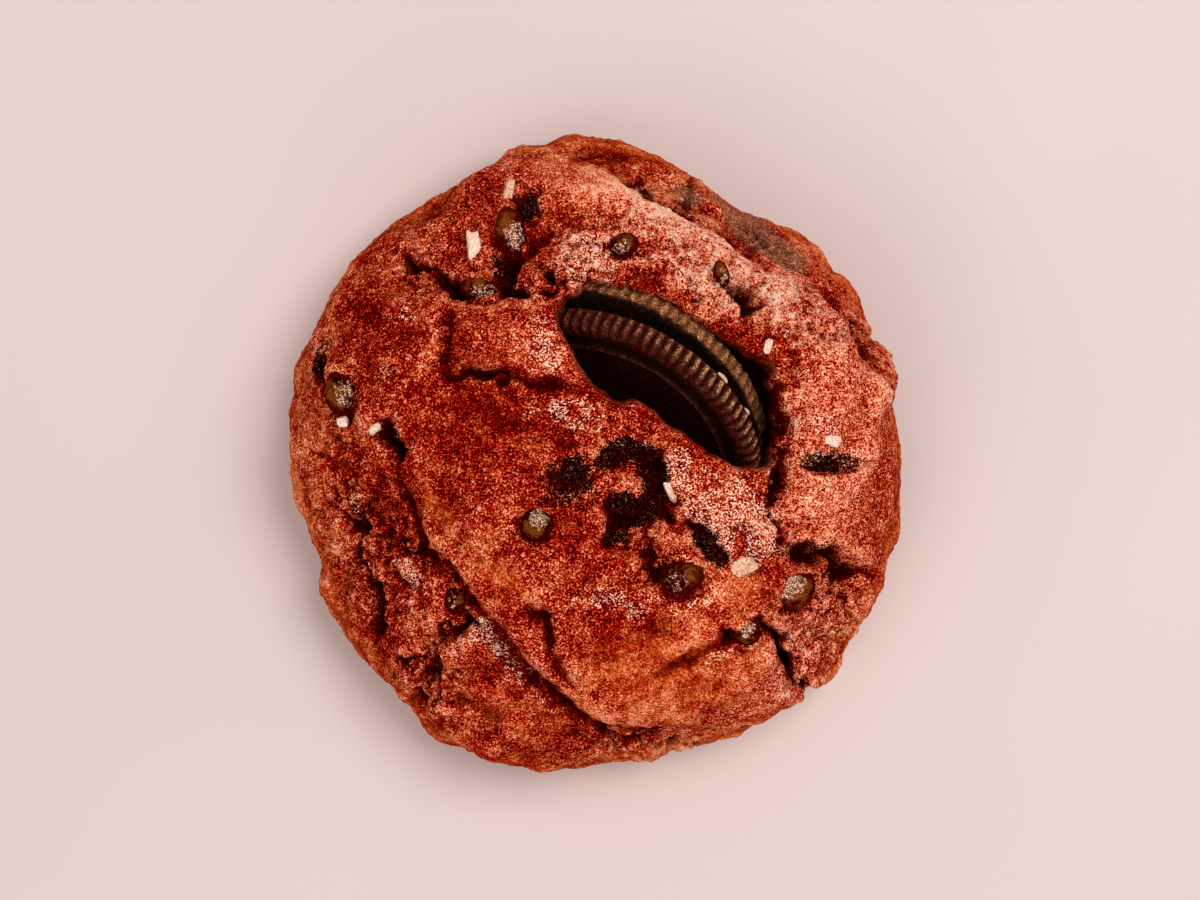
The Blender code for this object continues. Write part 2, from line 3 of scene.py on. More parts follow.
import bpy
import numpy as np
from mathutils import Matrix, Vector


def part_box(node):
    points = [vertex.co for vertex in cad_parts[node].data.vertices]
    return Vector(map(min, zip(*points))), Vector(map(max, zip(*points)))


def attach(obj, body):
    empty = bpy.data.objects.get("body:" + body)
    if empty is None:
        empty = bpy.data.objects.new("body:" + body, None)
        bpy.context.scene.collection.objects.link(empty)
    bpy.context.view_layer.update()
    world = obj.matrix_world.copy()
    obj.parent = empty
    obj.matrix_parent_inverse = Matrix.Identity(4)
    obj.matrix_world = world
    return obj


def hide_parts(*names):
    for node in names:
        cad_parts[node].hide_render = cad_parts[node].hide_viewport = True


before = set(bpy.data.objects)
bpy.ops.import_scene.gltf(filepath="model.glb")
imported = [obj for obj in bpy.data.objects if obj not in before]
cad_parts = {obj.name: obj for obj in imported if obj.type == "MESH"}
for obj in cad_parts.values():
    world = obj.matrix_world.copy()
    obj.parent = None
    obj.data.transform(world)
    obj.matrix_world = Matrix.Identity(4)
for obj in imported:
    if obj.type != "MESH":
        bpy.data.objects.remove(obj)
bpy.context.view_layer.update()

# Sizes are in millimetres, apart from the stage's, and every mesh is scaled to metres as
# it is made.
MM = 0.001
BODY = "root"

# ---- sizes shared with the solids ------------------------------------------------------

HEIGHT = 31.0            # top of the plain dome
WAIST = 9.5              # level of the widest outline
FOOT = 0.915             # flat base, as a share of the outline
CROWN_RUN = 2.6          # how flat the dome is in plan
CROWN_RISE = 1.8         # how full it is in height

# distance from the middle to the outline, every 15 degrees from +X
OUTLINE = np.array([43.2, 44.0, 44.7, 43.6, 41.5, 44.3, 45.4, 45.4, 44.6, 45.2, 44.6, 45.7,
                    45.8, 43.6, 46.2, 46.1, 47.8, 48.2, 46.5, 44.6, 45.7, 48.5, 47.6, 45.4])

WAFER_RADIUS = 22.5
WAFER_THICK = 3.5
WAFER_BORDER = 3.0       # width of the ridged border
WAFER_DISH = 0.4         # how deep the plain field lies inside it
WAFER_RIDGES = 90        # on a whole wafer
RIDGE_DEPTH = 0.45
RING_RADIUS = 17.8       # thin raised ring on the front wafer's field
RING_RISE = 0.35
RIM_EDGES = (0.8, WAFER_THICK - 0.9)     # levels near the two edges of a wafer's rim
WAFER_LEAN = 49.5        # degrees between the wafer's axis and the vertical
WAFER_TURN = -31.0       # degrees of the wafer's straight edge in plan
SANDWICH = np.array([3.1, 3.4, 13.2])    # middle of the front wafer's inner face
CREAM_THICK = 1.7
CREAM_RADIUS = 16.5
JOINT_GAP = 0.3          # between a wafer and the cream
CREAM_LEVEL = -(CREAM_THICK + JOINT_GAP)
BACK_LEVEL = -(CREAM_THICK + 2.0 * JOINT_GAP)
BACK_SLIDE = -1.6        # the back wafer has slipped along the straight edge

# ---- finer detail of the wafers and the cream ------------------------------------------

RIDGE_STEPS = 10         # points from one ridge to the next
BACK_RIDGES = 0.35       # what is left of the back wafer's worn ridges, as a share
FRONT_WEAR = 0.06        # how far the surface strays
BACK_WEAR = 0.2
CREAM_STEPS = 180        # points round the cream's edge
CREAM_RAGGED = 0.05      # how uneven that edge is, as a share of the radius
FLECK_RADIUS = 21.9      # where the squeezed-out flecks of cream lie
CREAM_FLECKS = ((64.0, (0.42, 1.0, 0.42)), (47.0, (0.6, 0.7, 0.55)))    # bearing, half sizes

# ---- the dough's relief, in plan -------------------------------------------------------

# middle, half sizes, turn in degrees, rise
SWELLS = (
    ((33.0, 1.0), (9.0, 15.0), 4, 3.4),        # block on the right
    ((29.0, 19.5), (8.0, 6.0), -35, 2.4),      # shoulder above it
    ((-3.0, -10.0), (23.0, 16.0), -33, 1.6),   # main fold
    ((18.0, -9.5), (8.0, 9.0), 20, 1.4),       # its right end
    ((-12.0, 16.5), (8.5, 5.5), -5, 1.4),      # plate left of the wafers
    ((-1.5, 27.5), (6.0, 4.5), 15, 1.8),       # knoll behind their left end
    ((13.5, 26.5), (14.0, 4.5), -33, 2.4),     # strip behind them
    ((14.0, -31.5), (14.0, 7.0), 22, 2.2),     # lower right roll
    ((-31.0, -18.0), (10.0, 13.0), -10, -2.4), # lower left terrace
    ((-15.0, -36.0), (15.0, 7.0), -29, -1.6),  # bottom terrace
    ((34.0, -26.0), (8.0, 8.0), 0, -2.2),      # crumbling corner
    ((-33.0, 14.0), (8.0, 10.0), 30, 1.2),     # left cheek
    ((-9.0, -27.5), (3.0, 6.5), 38, 1.5),      # tongue beside the main fold
    ((20.0, -19.5), (4.0, 3.0), 0, 1.0),       # small smooth lump
    ((39.5, 10.2), (2.6, 5.0), -20, 1.8),      # knob on the right rim
    ((10.0, -10.5), (3.0, 3.0), 0, 1.0),       # red lump in the dark hollow
    ((24.4, -11.0), (2.8, 4.4), 0, 1.5),       # saddle below the wafers' right end
)

# route, side that stands high, rise, shoulder, its run, drop, its run, groove
FOLDS = (
    (((-5.3, 41.7), (0.4, 40.3), (6.1, 36.9), (11.0, 33.2), (15.8, 30.6), (20.4, 27.6),
      (24.6, 23.4), (30.0, 21.2), (33.8, 18.0), (36.4, 13.4), (39.2, 8.5), (40.6, 3.8)),
     -1, 1.6, 1.4, 5.0, 3.6, 7.0, 0.2),                                   # edge of the cap
    (((-29.6, 5.2), (-28.2, 0.9), (-27.2, -4.0), (-26.0, -9.0), (-24.4, -12.8),
      (-20.6, -17.0)), 1, 1.0, 1.4, 5.0, 0.7, 4.0, 0.4),                  # main fold, upper part
    (((-26.0, -9.0), (-24.2, -13.2), (-21.7, -15.6), (-18.4, -19.3), (-14.4, -23.6),
      (-10.0, -28.9), (-5.8, -33.4), (-2.1, -36.8), (2.0, -38.4), (7.4, -39.0),
      (13.1, -40.7)), 1, 2.2, 1.6, 7.0, 1.5, 6.0, 0.6),                   # its lower part
    (((-12.0, -21.8), (-8.8, -21.5), (-6.9, -23.2), (-6.4, -26.5), (-5.0, -30.5),
      (-1.7, -33.9)), 1, 1.3, 1.0, 4.0, 0.9, 3.0, 1.5),                   # tongue
    (((-22.5, 10.3), (-19.9, 10.8), (-15.7, 10.8), (-10.8, 10.3), (-5.9, 9.6),
      (-1.0, 8.6)), 1, 0.7, 0.9, 4.0, 0.5, 3.0, 1.2),                     # below the plate
    (((-20.6, 22.4), (-20.9, 19.1), (-20.8, 16.3), (-21.5, 13.5), (-22.0, 10.9)),
     -1, 0.6, 0.9, 4.0, 0.6, 3.0, 1.3),                                   # left of the plate
    (((6.3, -30.6), (10.0, -29.0), (13.8, -27.0), (17.0, -25.5), (20.9, -23.8)),
     1, 1.4, 1.0, 4.5, 0.7, 2.5, 0.6),                                    # over the roll
    (((25.8, -14.7), (30.0, -14.9), (34.0, -15.6), (37.9, -17.0), (42.5, -18.6)),
     1, 1.2, 1.2, 4.0, 2.0, 4.0, 1.6),                                    # under the block
    (((-4.5, 31.7), (-7.3, 29.9), (-10.8, 27.1)), 1, 0.8, 0.9, 3.0, 0.8, 3.0, 0.8),
)

# route, half width, depth
CRACKS = (
    (((-28.3, 28.4), (-26.9, 26.6), (-23.2, 25.9), (-21.2, 23.8), (-17.8, 22.4),
      (-13.6, 23.5), (-10.6, 22.1), (-7.3, 22.4), (-3.8, 23.1)), 0.7, 2.2),
    (((24.6, 5.0), (25.2, 0.0), (25.4, -3.0), (24.6, -5.8), (23.8, -7.8)), 0.7, 2.4),
    (((24.2, -6.6), (23.9, -8.6), (24.6, -11.0), (25.6, -13.5)), 0.45, 1.3),
    (((22.1, -23.8), (25.4, -26.2), (26.4, -29.0), (27.8, -31.5), (30.0, -34.5),
      (33.0, -37.5)), 0.9, 3.0),
    (((-36.3, -7.8), (-36.0, -11.3), (-36.2, -15.6), (-34.7, -18.2), (-33.3, -21.4),
      (-33.6, -24.5), (-32.4, -28.3)), 0.8, 2.6),
    (((-27.5, -38.5), (-25.2, -33.5), (-24.1, -30.0), (-21.9, -27.5), (-19.5, -25.7),
      (-18.3, -22.8)), 1.1, 3.0),
    (((-30.2, 4.2), (-28.8, 1.6), (-27.4, -1.5)), 1.4, 1.8),
    (((0.4, -2.6), (2.9, -0.4), (5.6, -0.5), (8.0, -2.4), (8.6, -5.2), (7.3, -7.5),
      (4.4, -8.9), (2.2, -11.3), (2.6, -13.0)), 1.5, 2.0),
    (((8.1, -6.8), (10.4, -9.6), (13.7, -11.2), (16.0, -13.5)), 1.3, 2.0),
    (((4.4, 38.8), (6.8, 37.9), (8.2, 36.3), (10.4, 34.8), (13.2, 33.3)), 0.8, 1.8),
    (((19.4, 22.7), (20.1, 21.1), (20.7, 18.9)), 1.1, 3.0),
    (((0.4, -39.7), (4.7, -41.8), (9.9, -42.6), (15.0, -42.0)), 0.8, 1.8),
    (((35.6, 18.4), (39.0, 17.0), (43.0, 16.4)), 0.9, 1.8),
    (((12.5, 34.5), (14.0, 38.5), (15.0, 41.0)), 1.0, 1.2),
    (((-13.6, 27.5), (-12.8, 24.7), (-11.5, 22.6)), 1.1, 2.2),
    (((25.0, 16.1), (29.9, 15.5), (34.8, 16.0)), 0.6, 0.9),
    (((7.6, -6.5), (6.7, -11.0), (7.1, -15.1), (9.0, -18.6)), 1.0, 1.4),
    (((-29.3, -31.4), (-27.5, -32.3), (-25.7, -32.0)), 0.9, 1.8),
    (((-34.1, -7.8), (-32.9, -9.8)), 0.8, 1.6),
    (((-29.4, -12.7), (-27.5, -14.4), (-24.7, -13.8)), 0.7, 1.4),
    (((0.6, -38.2), (1.6, -39.6), (2.6, -41.2), (2.2, -42.6)), 0.7, 1.4),
    (((22.0, 33.2), (23.6, 30.6), (25.6, 27.6), (29.6, 24.0)), 0.6, 1.3),
    (((-8.0, 25.7), (-5.8, 24.4), (-3.0, 24.4)), 0.6, 1.3),
)

# holes in the crust: middle, half sizes, turn, depth
PITS = (
    ((-13.2, 26.2), (1.4, 3.0), -15, 2.6),
    ((-9.7, 35.3), (1.6, 2.2), 20, 2.0),
    ((-20.5, 23.2), (1.6, 1.0), -20, 2.2),
    ((-27.0, 26.9), (0.9, 2.0), 30, 1.8),
    ((-11.9, 22.5), (2.2, 0.8), -20, 1.8),
    ((-6.6, 24.9), (2.2, 0.7), -30, 1.6),
    ((-15.2, 10.5), (2.8, 0.6), -2, 1.4),
    ((20.4, 21.6), (1.3, 1.5), 10, 3.0),
    ((19.3, 22.6), (1.5, 0.7), 20, 1.8),
    ((21.2, 19.6), (0.8, 1.2), -20, 1.8),
    ((13.6, 21.2), (1.1, 0.5), -30, 1.4),
    ((6.5, 37.2), (2.6, 1.0), -30, 2.0),
    ((11.2, 33.4), (1.5, 0.8), -30, 1.6),
    ((24.9, 4.5), (0.9, 6.0), 4, 2.8),
    ((25.0, -3.4), (1.0, 2.2), 5, 2.6),
    ((31.5, -14.9), (5.0, 1.3), -6, 3.4),
    ((35.1, -17.8), (2.0, 1.3), -30, 2.4),
    ((27.0, -29.2), (1.1, 4.4), 28, 3.4),
    ((20.2, -24.9), (2.8, 1.0), 24, 2.2),
    ((-34.9, -11.8), (0.8, 3.2), 0, 2.4),
    ((-32.5, -22.8), (1.2, 3.4), 4, 2.8),
    ((-27.2, -30.8), (2.8, 0.9), -6, 2.2),
    ((-23.9, -34.2), (0.8, 3.0), -10, 2.8),
    ((-21.6, -25.8), (2.4, 0.7), 20, 2.0),
    ((-19.8, -17.0), (3.0, 0.9), -52, 1.4),
    ((-29.0, 1.4), (1.3, 2.8), 25, 1.6),
    ((5.4, -1.8), (4.2, 1.6), 10, 1.6),
    ((8.6, -5.0), (1.5, 4.0), 10, 1.8),
    ((3.2, -9.4), (2.0, 3.6), 30, 1.4),
    ((15.8, -13.2), (3.6, 1.2), -42, 1.8),
)

# outline of the slot at the crust, anticlockwise from its left end
SLOT_RIM = ((-5.8, 18.7), (-4.9, 15.4), (-3.3, 12.3), (-1.4, 9.8), (1.0, 7.7), (3.6, 6.7),
            (6.2, 6.4), (8.3, 4.6), (10.4, 2.6), (13.2, 0.7), (16.4, -1.1), (19.9, -2.4),
            (23.2, -2.8), (24.8, -1.4), (25.1, 3.0), (25.0, 8.4), (24.4, 12.0),
            (21.6, 13.6), (18.2, 15.6), (15.2, 17.7), (12.3, 19.8), (9.1, 21.5),
            (5.0, 22.8), (1.2, 23.6), (-1.8, 23.4), (-4.2, 21.8))
SLOT_FLOOR = 15.0        # level
SLOT_WALL = 1.4          # width of its wall in plan

# where the crust is crumbly: middle, half sizes, turn, strength
CRAGS = (
    ((-31.0, -17.0), (9.0, 12.0), -10, 0.7),
    ((33.0, -25.0), (8.0, 9.0), 0, 0.8),
    ((14.5, 25.0), (14.0, 4.6), -35, 1.0),
    ((27.0, 18.0), (5.0, 4.5), 0, 0.9),
    ((-1.5, 27.0), (6.0, 5.0), 0, 0.9),
    ((-38.0, -3.0), (5.0, 14.0), 0, 0.5),
    ((-22.0, 26.0), (9.0, 3.5), 0, 0.6),
    ((-23.0, -35.0), (5.0, 5.0), 0, 0.7),
    ((26.5, 5.0), (2.5, 9.0), 0, 0.6),
    ((6.0, -43.0), (9.0, 3.0), 0, 0.6),
    ((41.0, 11.0), (3.0, 6.0), 0, 0.5),
)

# pale sugar with a painted sheen on up-facing crust: middle, half sizes, turn, strength, as in the
# tables after it
FROST_AND_SHEEN = (
    ((-1.0, 26.5), (4.2, 3.8), 0, 1.0),
    ((-7.2, 14.4), (2.8, 4.6), 10, 0.8),
    ((-3.8, 5.1), (5.6, 2.5), 0, 0.8),
    ((17.3, -7.6), (8.4, 5.0), -45, 1.5),
    ((13.5, -2.6), (4.2, 2.0), -30, 1.2),
    ((20.5, -12.5), (3.6, 3.0), 0, 1.2),
    ((3.2, -20.7), (7.0, 2.8), -8, 0.8),
    ((14.3, -20.7), (4.0, 2.0), 0, 0.5),
    ((-10.8, -31.2), (6.8, 2.4), -42, 1.4),
    ((-27.5, -17.2), (3.8, 1.7), -52, 1.0),
    ((-19.2, -20.7), (1.6, 2.6), -20, 0.6),
    ((-16.4, -24.9), (2.4, 1.7), -20, 1.2),
    ((-26.2, 17.7), (2.0, 4.0), 10, 0.5),
    ((28.5, 9.0), (3.0, 5.0), 0, 0.3),
    ((29.0, 4.0), (3.4, 1.6), 0, 0.7),
    ((28.3, 19.8), (4.0, 2.4), 0, 0.3),
    ((29.0, -6.8), (3.0, 3.0), 0, 0.3),
    ((7.4, 26.8), (5.0, 2.2), -35, 0.4),
    ((12.9, 23.3), (4.0, 1.8), -35, 0.7),
    ((-0.3, 38.6), (5.0, 2.0), -10, 0.3),
    ((17.1, -27.8), (4.5, 1.8), 25, 0.6),
)

# deep red, less browned, and partly painted shade on the left side and along creases
DEEP_AND_SHADED = (
    ((-15.0, 4.0), (12.0, 7.0), 0, 1.0),
    ((5.0, -10.0), (8.0, 7.0), 0, 0.9),
    ((22.0, 13.5), (4.0, 5.0), 0, 0.9),
    ((-28.0, -5.0), (7.0, 8.0), 0, 0.8),
    ((-15.0, -23.0), (4.0, 8.0), 40, 0.8),
    ((-8.0, 31.0), (6.0, 6.0), 0, 0.7),
    ((-30.0, 22.0), (10.0, 8.0), 40, 0.5),
    ((-16.0, 17.0), (6.0, 6.0), 0, 0.5),
    ((-33.0, -20.0), (6.0, 10.0), 0, 0.7),
    ((27.0, -17.0), (6.0, 5.0), 0, 0.6),
    ((4.0, -24.0), (6.0, 4.0), 0, 0.4),
    ((13.8, -28.0), (8.0, 1.3), 25, 1.0),
)

# tan, well browned and smooth
TAN = (
    ((-22.0, -8.0), (3.6, 1.3), -56, 1.0),
    ((-12.5, -17.8), (4.8, 1.5), -27, 1.0),
    ((11.0, -32.0), (14.0, 6.0), 22, 1.0),
    ((-15.0, -37.0), (12.0, 4.0), -29, 0.6),
    ((-17.0, -13.0), (7.0, 5.0), -50, 0.3),
    ((19.5, -19.5), (3.6, 2.8), 0, 0.8),
    ((-40.0, 2.0), (4.0, 16.0), 0, 0.6),
    ((3.0, 38.0), (14.0, 4.5), -12, 0.7),
    ((6.0, -26.5), (11.0, 4.0), 18, 0.7),
    ((30.0, 27.0), (6.0, 5.0), -40, 0.6),
)

# pale pinkish skin, and a painted lit sheen on the right and the top
PALE_AND_LIT = (
    ((1.0, 36.5), (14.0, 5.0), -10, 0.9),
    ((17.0, 26.0), (13.0, 6.0), -35, 1.5),
    ((33.5, 8.0), (8.0, 14.0), 0, 1.0),
    ((33.0, -8.0), (8.0, 7.0), 0, 0.8),
    ((33.0, -24.0), (8.0, 9.0), 30, 0.7),
    ((16.0, -9.0), (7.0, 7.0), 0, 0.5),
    ((15.0, -20.0), (7.0, 5.0), 15, 0.4),
    ((-39.5, 14.0), (3.0, 9.0), -20, 0.4),
    ((18.0, -37.0), (14.0, 3.0), 25, 0.5),
    ((-1.0, 27.0), (6.0, 5.0), 0, 0.7),
)

# smooth grey-brown film of cocoa
DULL = (
    ((26.4, 28.0), (5.6, 2.4), -50, 1.0),
    ((21.4, 33.4), (4.6, 2.2), -42, 0.9),
    ((14.6, 37.6), (3.4, 1.6), -25, 0.7),
)

# dark wafer dust worked into the dough
SMEARS = (
    ((-3.6, -4.2), (5.2, 4.6), -20, 0.75),
    ((31.4, -1.4), (5.0, 1.9), -8, 0.8),
    ((28.3, -13.7), (6.0, 1.6), 0, 0.7),
    ((-9.4, 35.1), (1.8, 2.4), 20, 0.9),
    ((-13.6, 26.1), (1.7, 2.6), 10, 0.9),
    ((-28.2, 1.6), (1.6, 3.0), 25, 0.9),
    ((-38.8, 13.0), (2.0, 3.6), -15, 0.7),
    ((-29.0, 11.1), (2.4, 2.0), 0, 0.5),
    ((-35.3, -8.9), (1.4, 3.6), 0, 0.7),
    ((8.9, -15.4), (2.6, 3.0), 0, 0.6),
    ((20.6, -24.9), (3.4, 1.6), 10, 0.7),
    ((35.3, -17.3), (2.2, 2.0), 0, 0.8),
)

# wafer dust along a hollow: route, half width
DUSTY_ROUTES = (
    (((-1.0, -2.8), (1.6, -0.8), (4.0, 0.0), (6.4, -0.8), (8.2, -3.0), (8.4, -5.6), (6.8, -8.0),
      (4.4, -9.0), (2.6, -11.0), (2.4, -13.2)), 1.9),
    (((13.2, -10.8), (15.2, -12.6), (16.6, -14.4), (18.0, -15.6)), 1.5),
    (((-9.0, 36.6), (-9.6, 34.4), (-10.4, 32.8)), 1.2),
)

GRID = 300               # faces across the dough's grid
WIDENING = 0.14          # how much wider its steps are at the base's edge, as a share
BASE_RINGS = (0.985, 0.94, 0.8, 0.55, 0.28)    # shares of the base's edge
FOOT_FADE = 6.0          # the relief fades out below this level
DROP_FADE = (2.0, 12.0)  # levels between which the drops beside the folds fade in

# how far every line strays from its route: distance, size, seed
STRAYING = ((0.5, 2.2, 51), (0.28, 0.9, 53))
RIM_STRAY = 0.75         # and the slot's rim

# relief all over: height, size of a bump, seed
UNEVENNESS = ((0.9, 9.0, 81), (0.7, 4.0, 82))
BUMP_HEIGHT = 0.24       # small bumps
BUMP_SIZE = 1.6
CRAG_HEIGHT = 0.3        # added to them where the crust is crumbly
GRIT_HEIGHT = 0.09
GRIT_SIZE = 0.8
CHUNK_SIZE = 3.1         # crumbly crust: chunks, and the bits on them
CHUNK_RISE = 1.1
BIT_SIZE = 1.3
BIT_RISE = 0.6
PORE_CELL = 1.7          # cells that hold a pore each, unless their number is too low
PORE_WIDTH = 0.2
PORE_DEPTH = 0.3
NO_PORE = 0.62
NARROW = 2               # windows that find hollows and lips, in grid steps each way
WIDE = 7

# ---- things baked into the top: node, half sizes, turn in degrees -----------------------

CHIPS = (
    ("chip_01", (2.4, 3.4, 2.6), 14), ("chip_02", (3.0, 2.0, 2.2), -10),
    ("chip_03", (2.2, 3.1, 2.6), 8), ("chip_04", (2.2, 2.1, 2.4), 20),
    ("chip_05", (3.0, 2.4, 2.6), 15), ("chip_06", (2.2, 1.6, 2.0), 10),
    ("chip_07", (1.1, 1.9, 1.8), 10), ("chip_08", (3.6, 3.0, 2.6), 15),
    ("chip_09", (2.0, 1.9, 2.2), 0), ("chip_10", (1.8, 2.2, 2.0), -25),
    ("chip_11", (2.0, 1.2, 1.6), -35),
)
WHITE_CHIPS = (
    ("white_chip_01", (1.0, 2.3, 1.2), 2), ("white_chip_02", (0.7, 2.0, 1.0), -12),
    ("white_chip_03", (0.8, 0.7, 0.9), 0), ("white_chip_04", (0.9, 0.55, 0.8), 40),
    ("white_chip_05", (0.5, 1.5, 1.0), 25), ("white_chip_06", (1.7, 1.2, 1.1), 25),
    ("white_chip_07", (1.6, 0.8, 1.0), -15), ("white_chip_08", (0.5, 1.1, 0.8), -15),
)
# white bits browned by the oven
TOASTED = ("white_chip_02", "white_chip_06")
CRUMBS = (
    ("wafer_crumb_01", (3.4, 2.2, 1.6), 20), ("wafer_crumb_02", (2.6, 2.0, 1.8), 35),
    ("wafer_crumb_03", (1.9, 1.4, 1.4), 10), ("wafer_crumb_04", (2.0, 1.5, 1.6), -40),
    ("wafer_crumb_05", (3.0, 1.3, 1.5), -8), ("wafer_crumb_06", (1.3, 1.9, 1.5), 25),
    ("wafer_crumb_07", (1.2, 2.0, 1.5), -15),
)

# bearing of a chip's lit side, painted amber as a highlight; how strong that is; and how sugary,
# with painted glints, the other side is
CHIP_LOOKS = {
    "chip_01": (125, 0.9, 0.9), "chip_02": (140, 0.4, 0.8), "chip_03": (175, 0.8, 0.9),
    "chip_04": (215, 0.8, 1.3), "chip_05": (15, 0.7, 0.5), "chip_06": (60, 0.4, 0.8),
    "chip_07": (100, 0.8, 0.8), "chip_08": (300, 0.5, 1.6), "chip_09": (270, 0.4, 0.9),
    "chip_10": (30, 0.5, 0.5), "chip_11": (0, 0.2, 0.8),
}
LIT_AMBER_TILT = 0.72        # how steeply the lit side, painted amber, faces up, and the sugary one
SUGAR_GLINT_TILT = 0.92
MOAT = 0.9               # how deep the dough sinks round a chip
MOAT_PLACE = 1.1         # where it is deepest, in half sizes of the chip, and its width
MOAT_WIDTH = 0.26
LAP_PLACE = 0.95         # the same for the dough that laps over a chip's far side
LAP_WIDTH = 0.3

# ---- arithmetic on whole arrays --------------------------------------------------------

BITS_32 = 0xFFFFFFFF
BITS_24 = 0xFFFFFF


def ease(value, low, high):
    """0 at low, 1 at high, 3t^2 - 2t^3 between them; low may be the larger of the two."""
    share = np.clip((value - low) / (high - low), 0.0, 1.0)
    return share * share * (3.0 - 2.0 * share)


def scatter(cells, seed):
    """A repeatable number from 0 to 1 for each cell (x, y, z), by mixing its bits."""
    x, y, z = (cells[..., axis].astype(np.int64).astype(np.uint32) for axis in range(3))
    mixed = x * np.uint32(374761393) + y * np.uint32(668265263) + z * np.uint32(2246822519)
    mixed = mixed + np.uint32((seed * 3266489917) & BITS_32)
    mixed = (mixed ^ (mixed >> np.uint32(15))) * np.uint32(2654435761)
    mixed = (mixed ^ (mixed >> np.uint32(13))) * np.uint32(3266489917)
    return ((mixed ^ (mixed >> np.uint32(16))) & np.uint32(BITS_24)) / float(BITS_24)


def rough(points, size, seed, layers=1):
    """Smooth random relief, about -1 to 1: random numbers at the corners of a grid of
    cells, blended across each cell, plus layers of half the size and half the height."""
    total = np.zeros(len(points))
    height, reach = 1.0, 0.0
    for layer in range(layers):
        place = points / (size / 2 ** layer)
        cell = np.floor(place)
        share = place - cell
        share = share ** 3 * (share * (share * 6.0 - 15.0) + 10.0)
        value = np.zeros(len(points))
        for corner in np.ndindex(2, 2, 2):
            weight = np.prod(np.where(corner, share, 1.0 - share), axis=1)
            value += weight * scatter(cell + corner, seed + 31 * layer)
        total += height * (2.0 * value - 1.0)
        reach += height
        height *= 0.5
    return total / reach


def rough_axes(points, size, seed, layers=1, axes=2):
    """The same relief for each of two or three axes, from one seed after another."""
    return np.column_stack([rough(points, size, seed + axis, layers) for axis in range(axes)])


def rough_line(place, seed, row=0.0, layers=1):
    """The same relief along a line, with cells of size 1; row chooses the line."""
    still = np.zeros(len(place))
    return rough(np.column_stack([place, still + row, still]), 1.0, seed, layers)


def lumps(points, size, seed):
    """Cells round scattered points: distance to the nearest and to the next point, in
    cell sizes, and the nearest cell's own random number."""
    place = points / size
    cell = np.floor(place)
    first = np.full(len(points), 9.0)
    second = np.full(len(points), 9.0)
    owner = np.zeros(len(points))
    for step in np.ndindex(3, 3, 3):
        near = cell + (np.array(step) - 1.0)
        spot = near + np.column_stack([scatter(near, seed + axis) for axis in range(3)])
        away = np.sqrt(((place - spot) ** 2).sum(axis=1))
        closer = away < first
        second = np.where(closer, first, np.minimum(second, away))
        owner = np.where(closer, scatter(near, seed + 7), owner)
        first = np.where(closer, away, first)
    return first, second, owner


def spline(before, start, end, after, share):
    """Catmull-Rom: the curve from start to end that heads along its neighbours."""
    return (start + (end - before) * (0.5 * share)
            + (before - start * 2.5 + end * 2.0 - after * 0.5) * share ** 2
            + (start * 1.5 - end * 1.5 + after * 0.5 - before * 0.5) * share ** 3)


def smooth_route(knots, closed=False, per_span=6):
    """Points along the smooth curve through the knots."""
    knots = np.array(knots, float)
    if closed:
        padded = np.vstack([knots[-1:], knots, knots[:2]])
    else:
        padded = np.vstack([knots[:1], knots, knots[-1:]])
    share = (np.arange(per_span) / per_span)[:, None, None]
    spans = [padded[step:len(padded) - 3 + step] for step in range(4)]
    route = np.swapaxes(spline(*spans, share), 0, 1).reshape(-1, 2)
    return np.vstack([route, route[:1] if closed else knots[-1:]])


def beside(route, plan, reach):
    """For the plan points within reach of a route: their indices, the distance from it,
    positive on its left, and the share of the way along."""
    low, high = route.min(axis=0) - reach, route.max(axis=0) + reach
    near = np.nonzero(((plan > low) & (plan < high)).all(axis=1))[0]
    spots = plan[near]
    best = np.full(len(near), 1e9)
    side = np.ones(len(near))
    along = np.zeros(len(near))
    for index in range(len(route) - 1):
        start, run = route[index], route[index + 1] - route[index]
        gap = spots - start
        share = np.clip(gap @ run / (run @ run), 0.0, 1.0)
        away = np.hypot(*(gap - share[:, None] * run).T)
        closer = away < best
        best = np.where(closer, away, best)
        turn = run[0] * gap[:, 1] - run[1] * gap[:, 0]
        side = np.where(closer, np.where(turn < 0, -1, 1), side)
        along = np.where(closer, (index + share) / (len(route) - 1), along)
    return near, best * side, along


def fade_ends(along, share):
    """1 along a route, fading to 0 over a share of its length at each end."""
    return ease(along, 0.0, share) * ease(1.0 - along, 0.0, share)


def turned(points, turn):
    """Points turned about Z by so many degrees."""
    cosine, sine = math.cos(math.radians(turn)), math.sin(math.radians(turn))
    result = points.copy()
    result[:, 0] = points[:, 0] * cosine - points[:, 1] * sine
    result[:, 1] = points[:, 0] * sine + points[:, 1] * cosine
    return result


def patch(plan, rows, sharp=1.5):
    """Sum of rounded patches: strength * exp(-(distance in half sizes)^(2 sharp))."""
    total = np.zeros(len(plan))
    for middle, half_sizes, turn, strength in rows:
        away = turned(plan - np.array(middle), -turn) / half_sizes
        total += strength * np.exp(-np.minimum((away ** 2).sum(axis=1), 20.0) ** sharp)
    return total


def soften(values, reach):
    """A square grid of values averaged over windows 2 reach + 1 wide, three times over."""
    grid = values.reshape(GRID + 1, GRID + 1)
    width = 2 * reach + 1
    for _ in range(3):
        for _ in range(2):
            padded = np.pad(grid, ((reach + 1, reach), (0, 0)), mode="edge")
            total = np.cumsum(padded, axis=0)
            grid = ((total[width:] - total[:-width]) / width).T
    return grid.ravel()


# ---- meshes ----------------------------------------------------------------------------

def make_mesh(name, points, faces, material, smooth=True):
    """An object at the origin from points in millimetres and faces by index."""
    mesh = bpy.data.meshes.new(name)
    mesh.from_pydata((points * MM).tolist(), [], faces)
    mesh.validate()
    mesh.update()
    if smooth:
        mesh.shade_smooth()
    mesh.materials.append(material)
    thing = bpy.data.objects.new(name, mesh)
    bpy.context.scene.collection.objects.link(thing)
    return thing


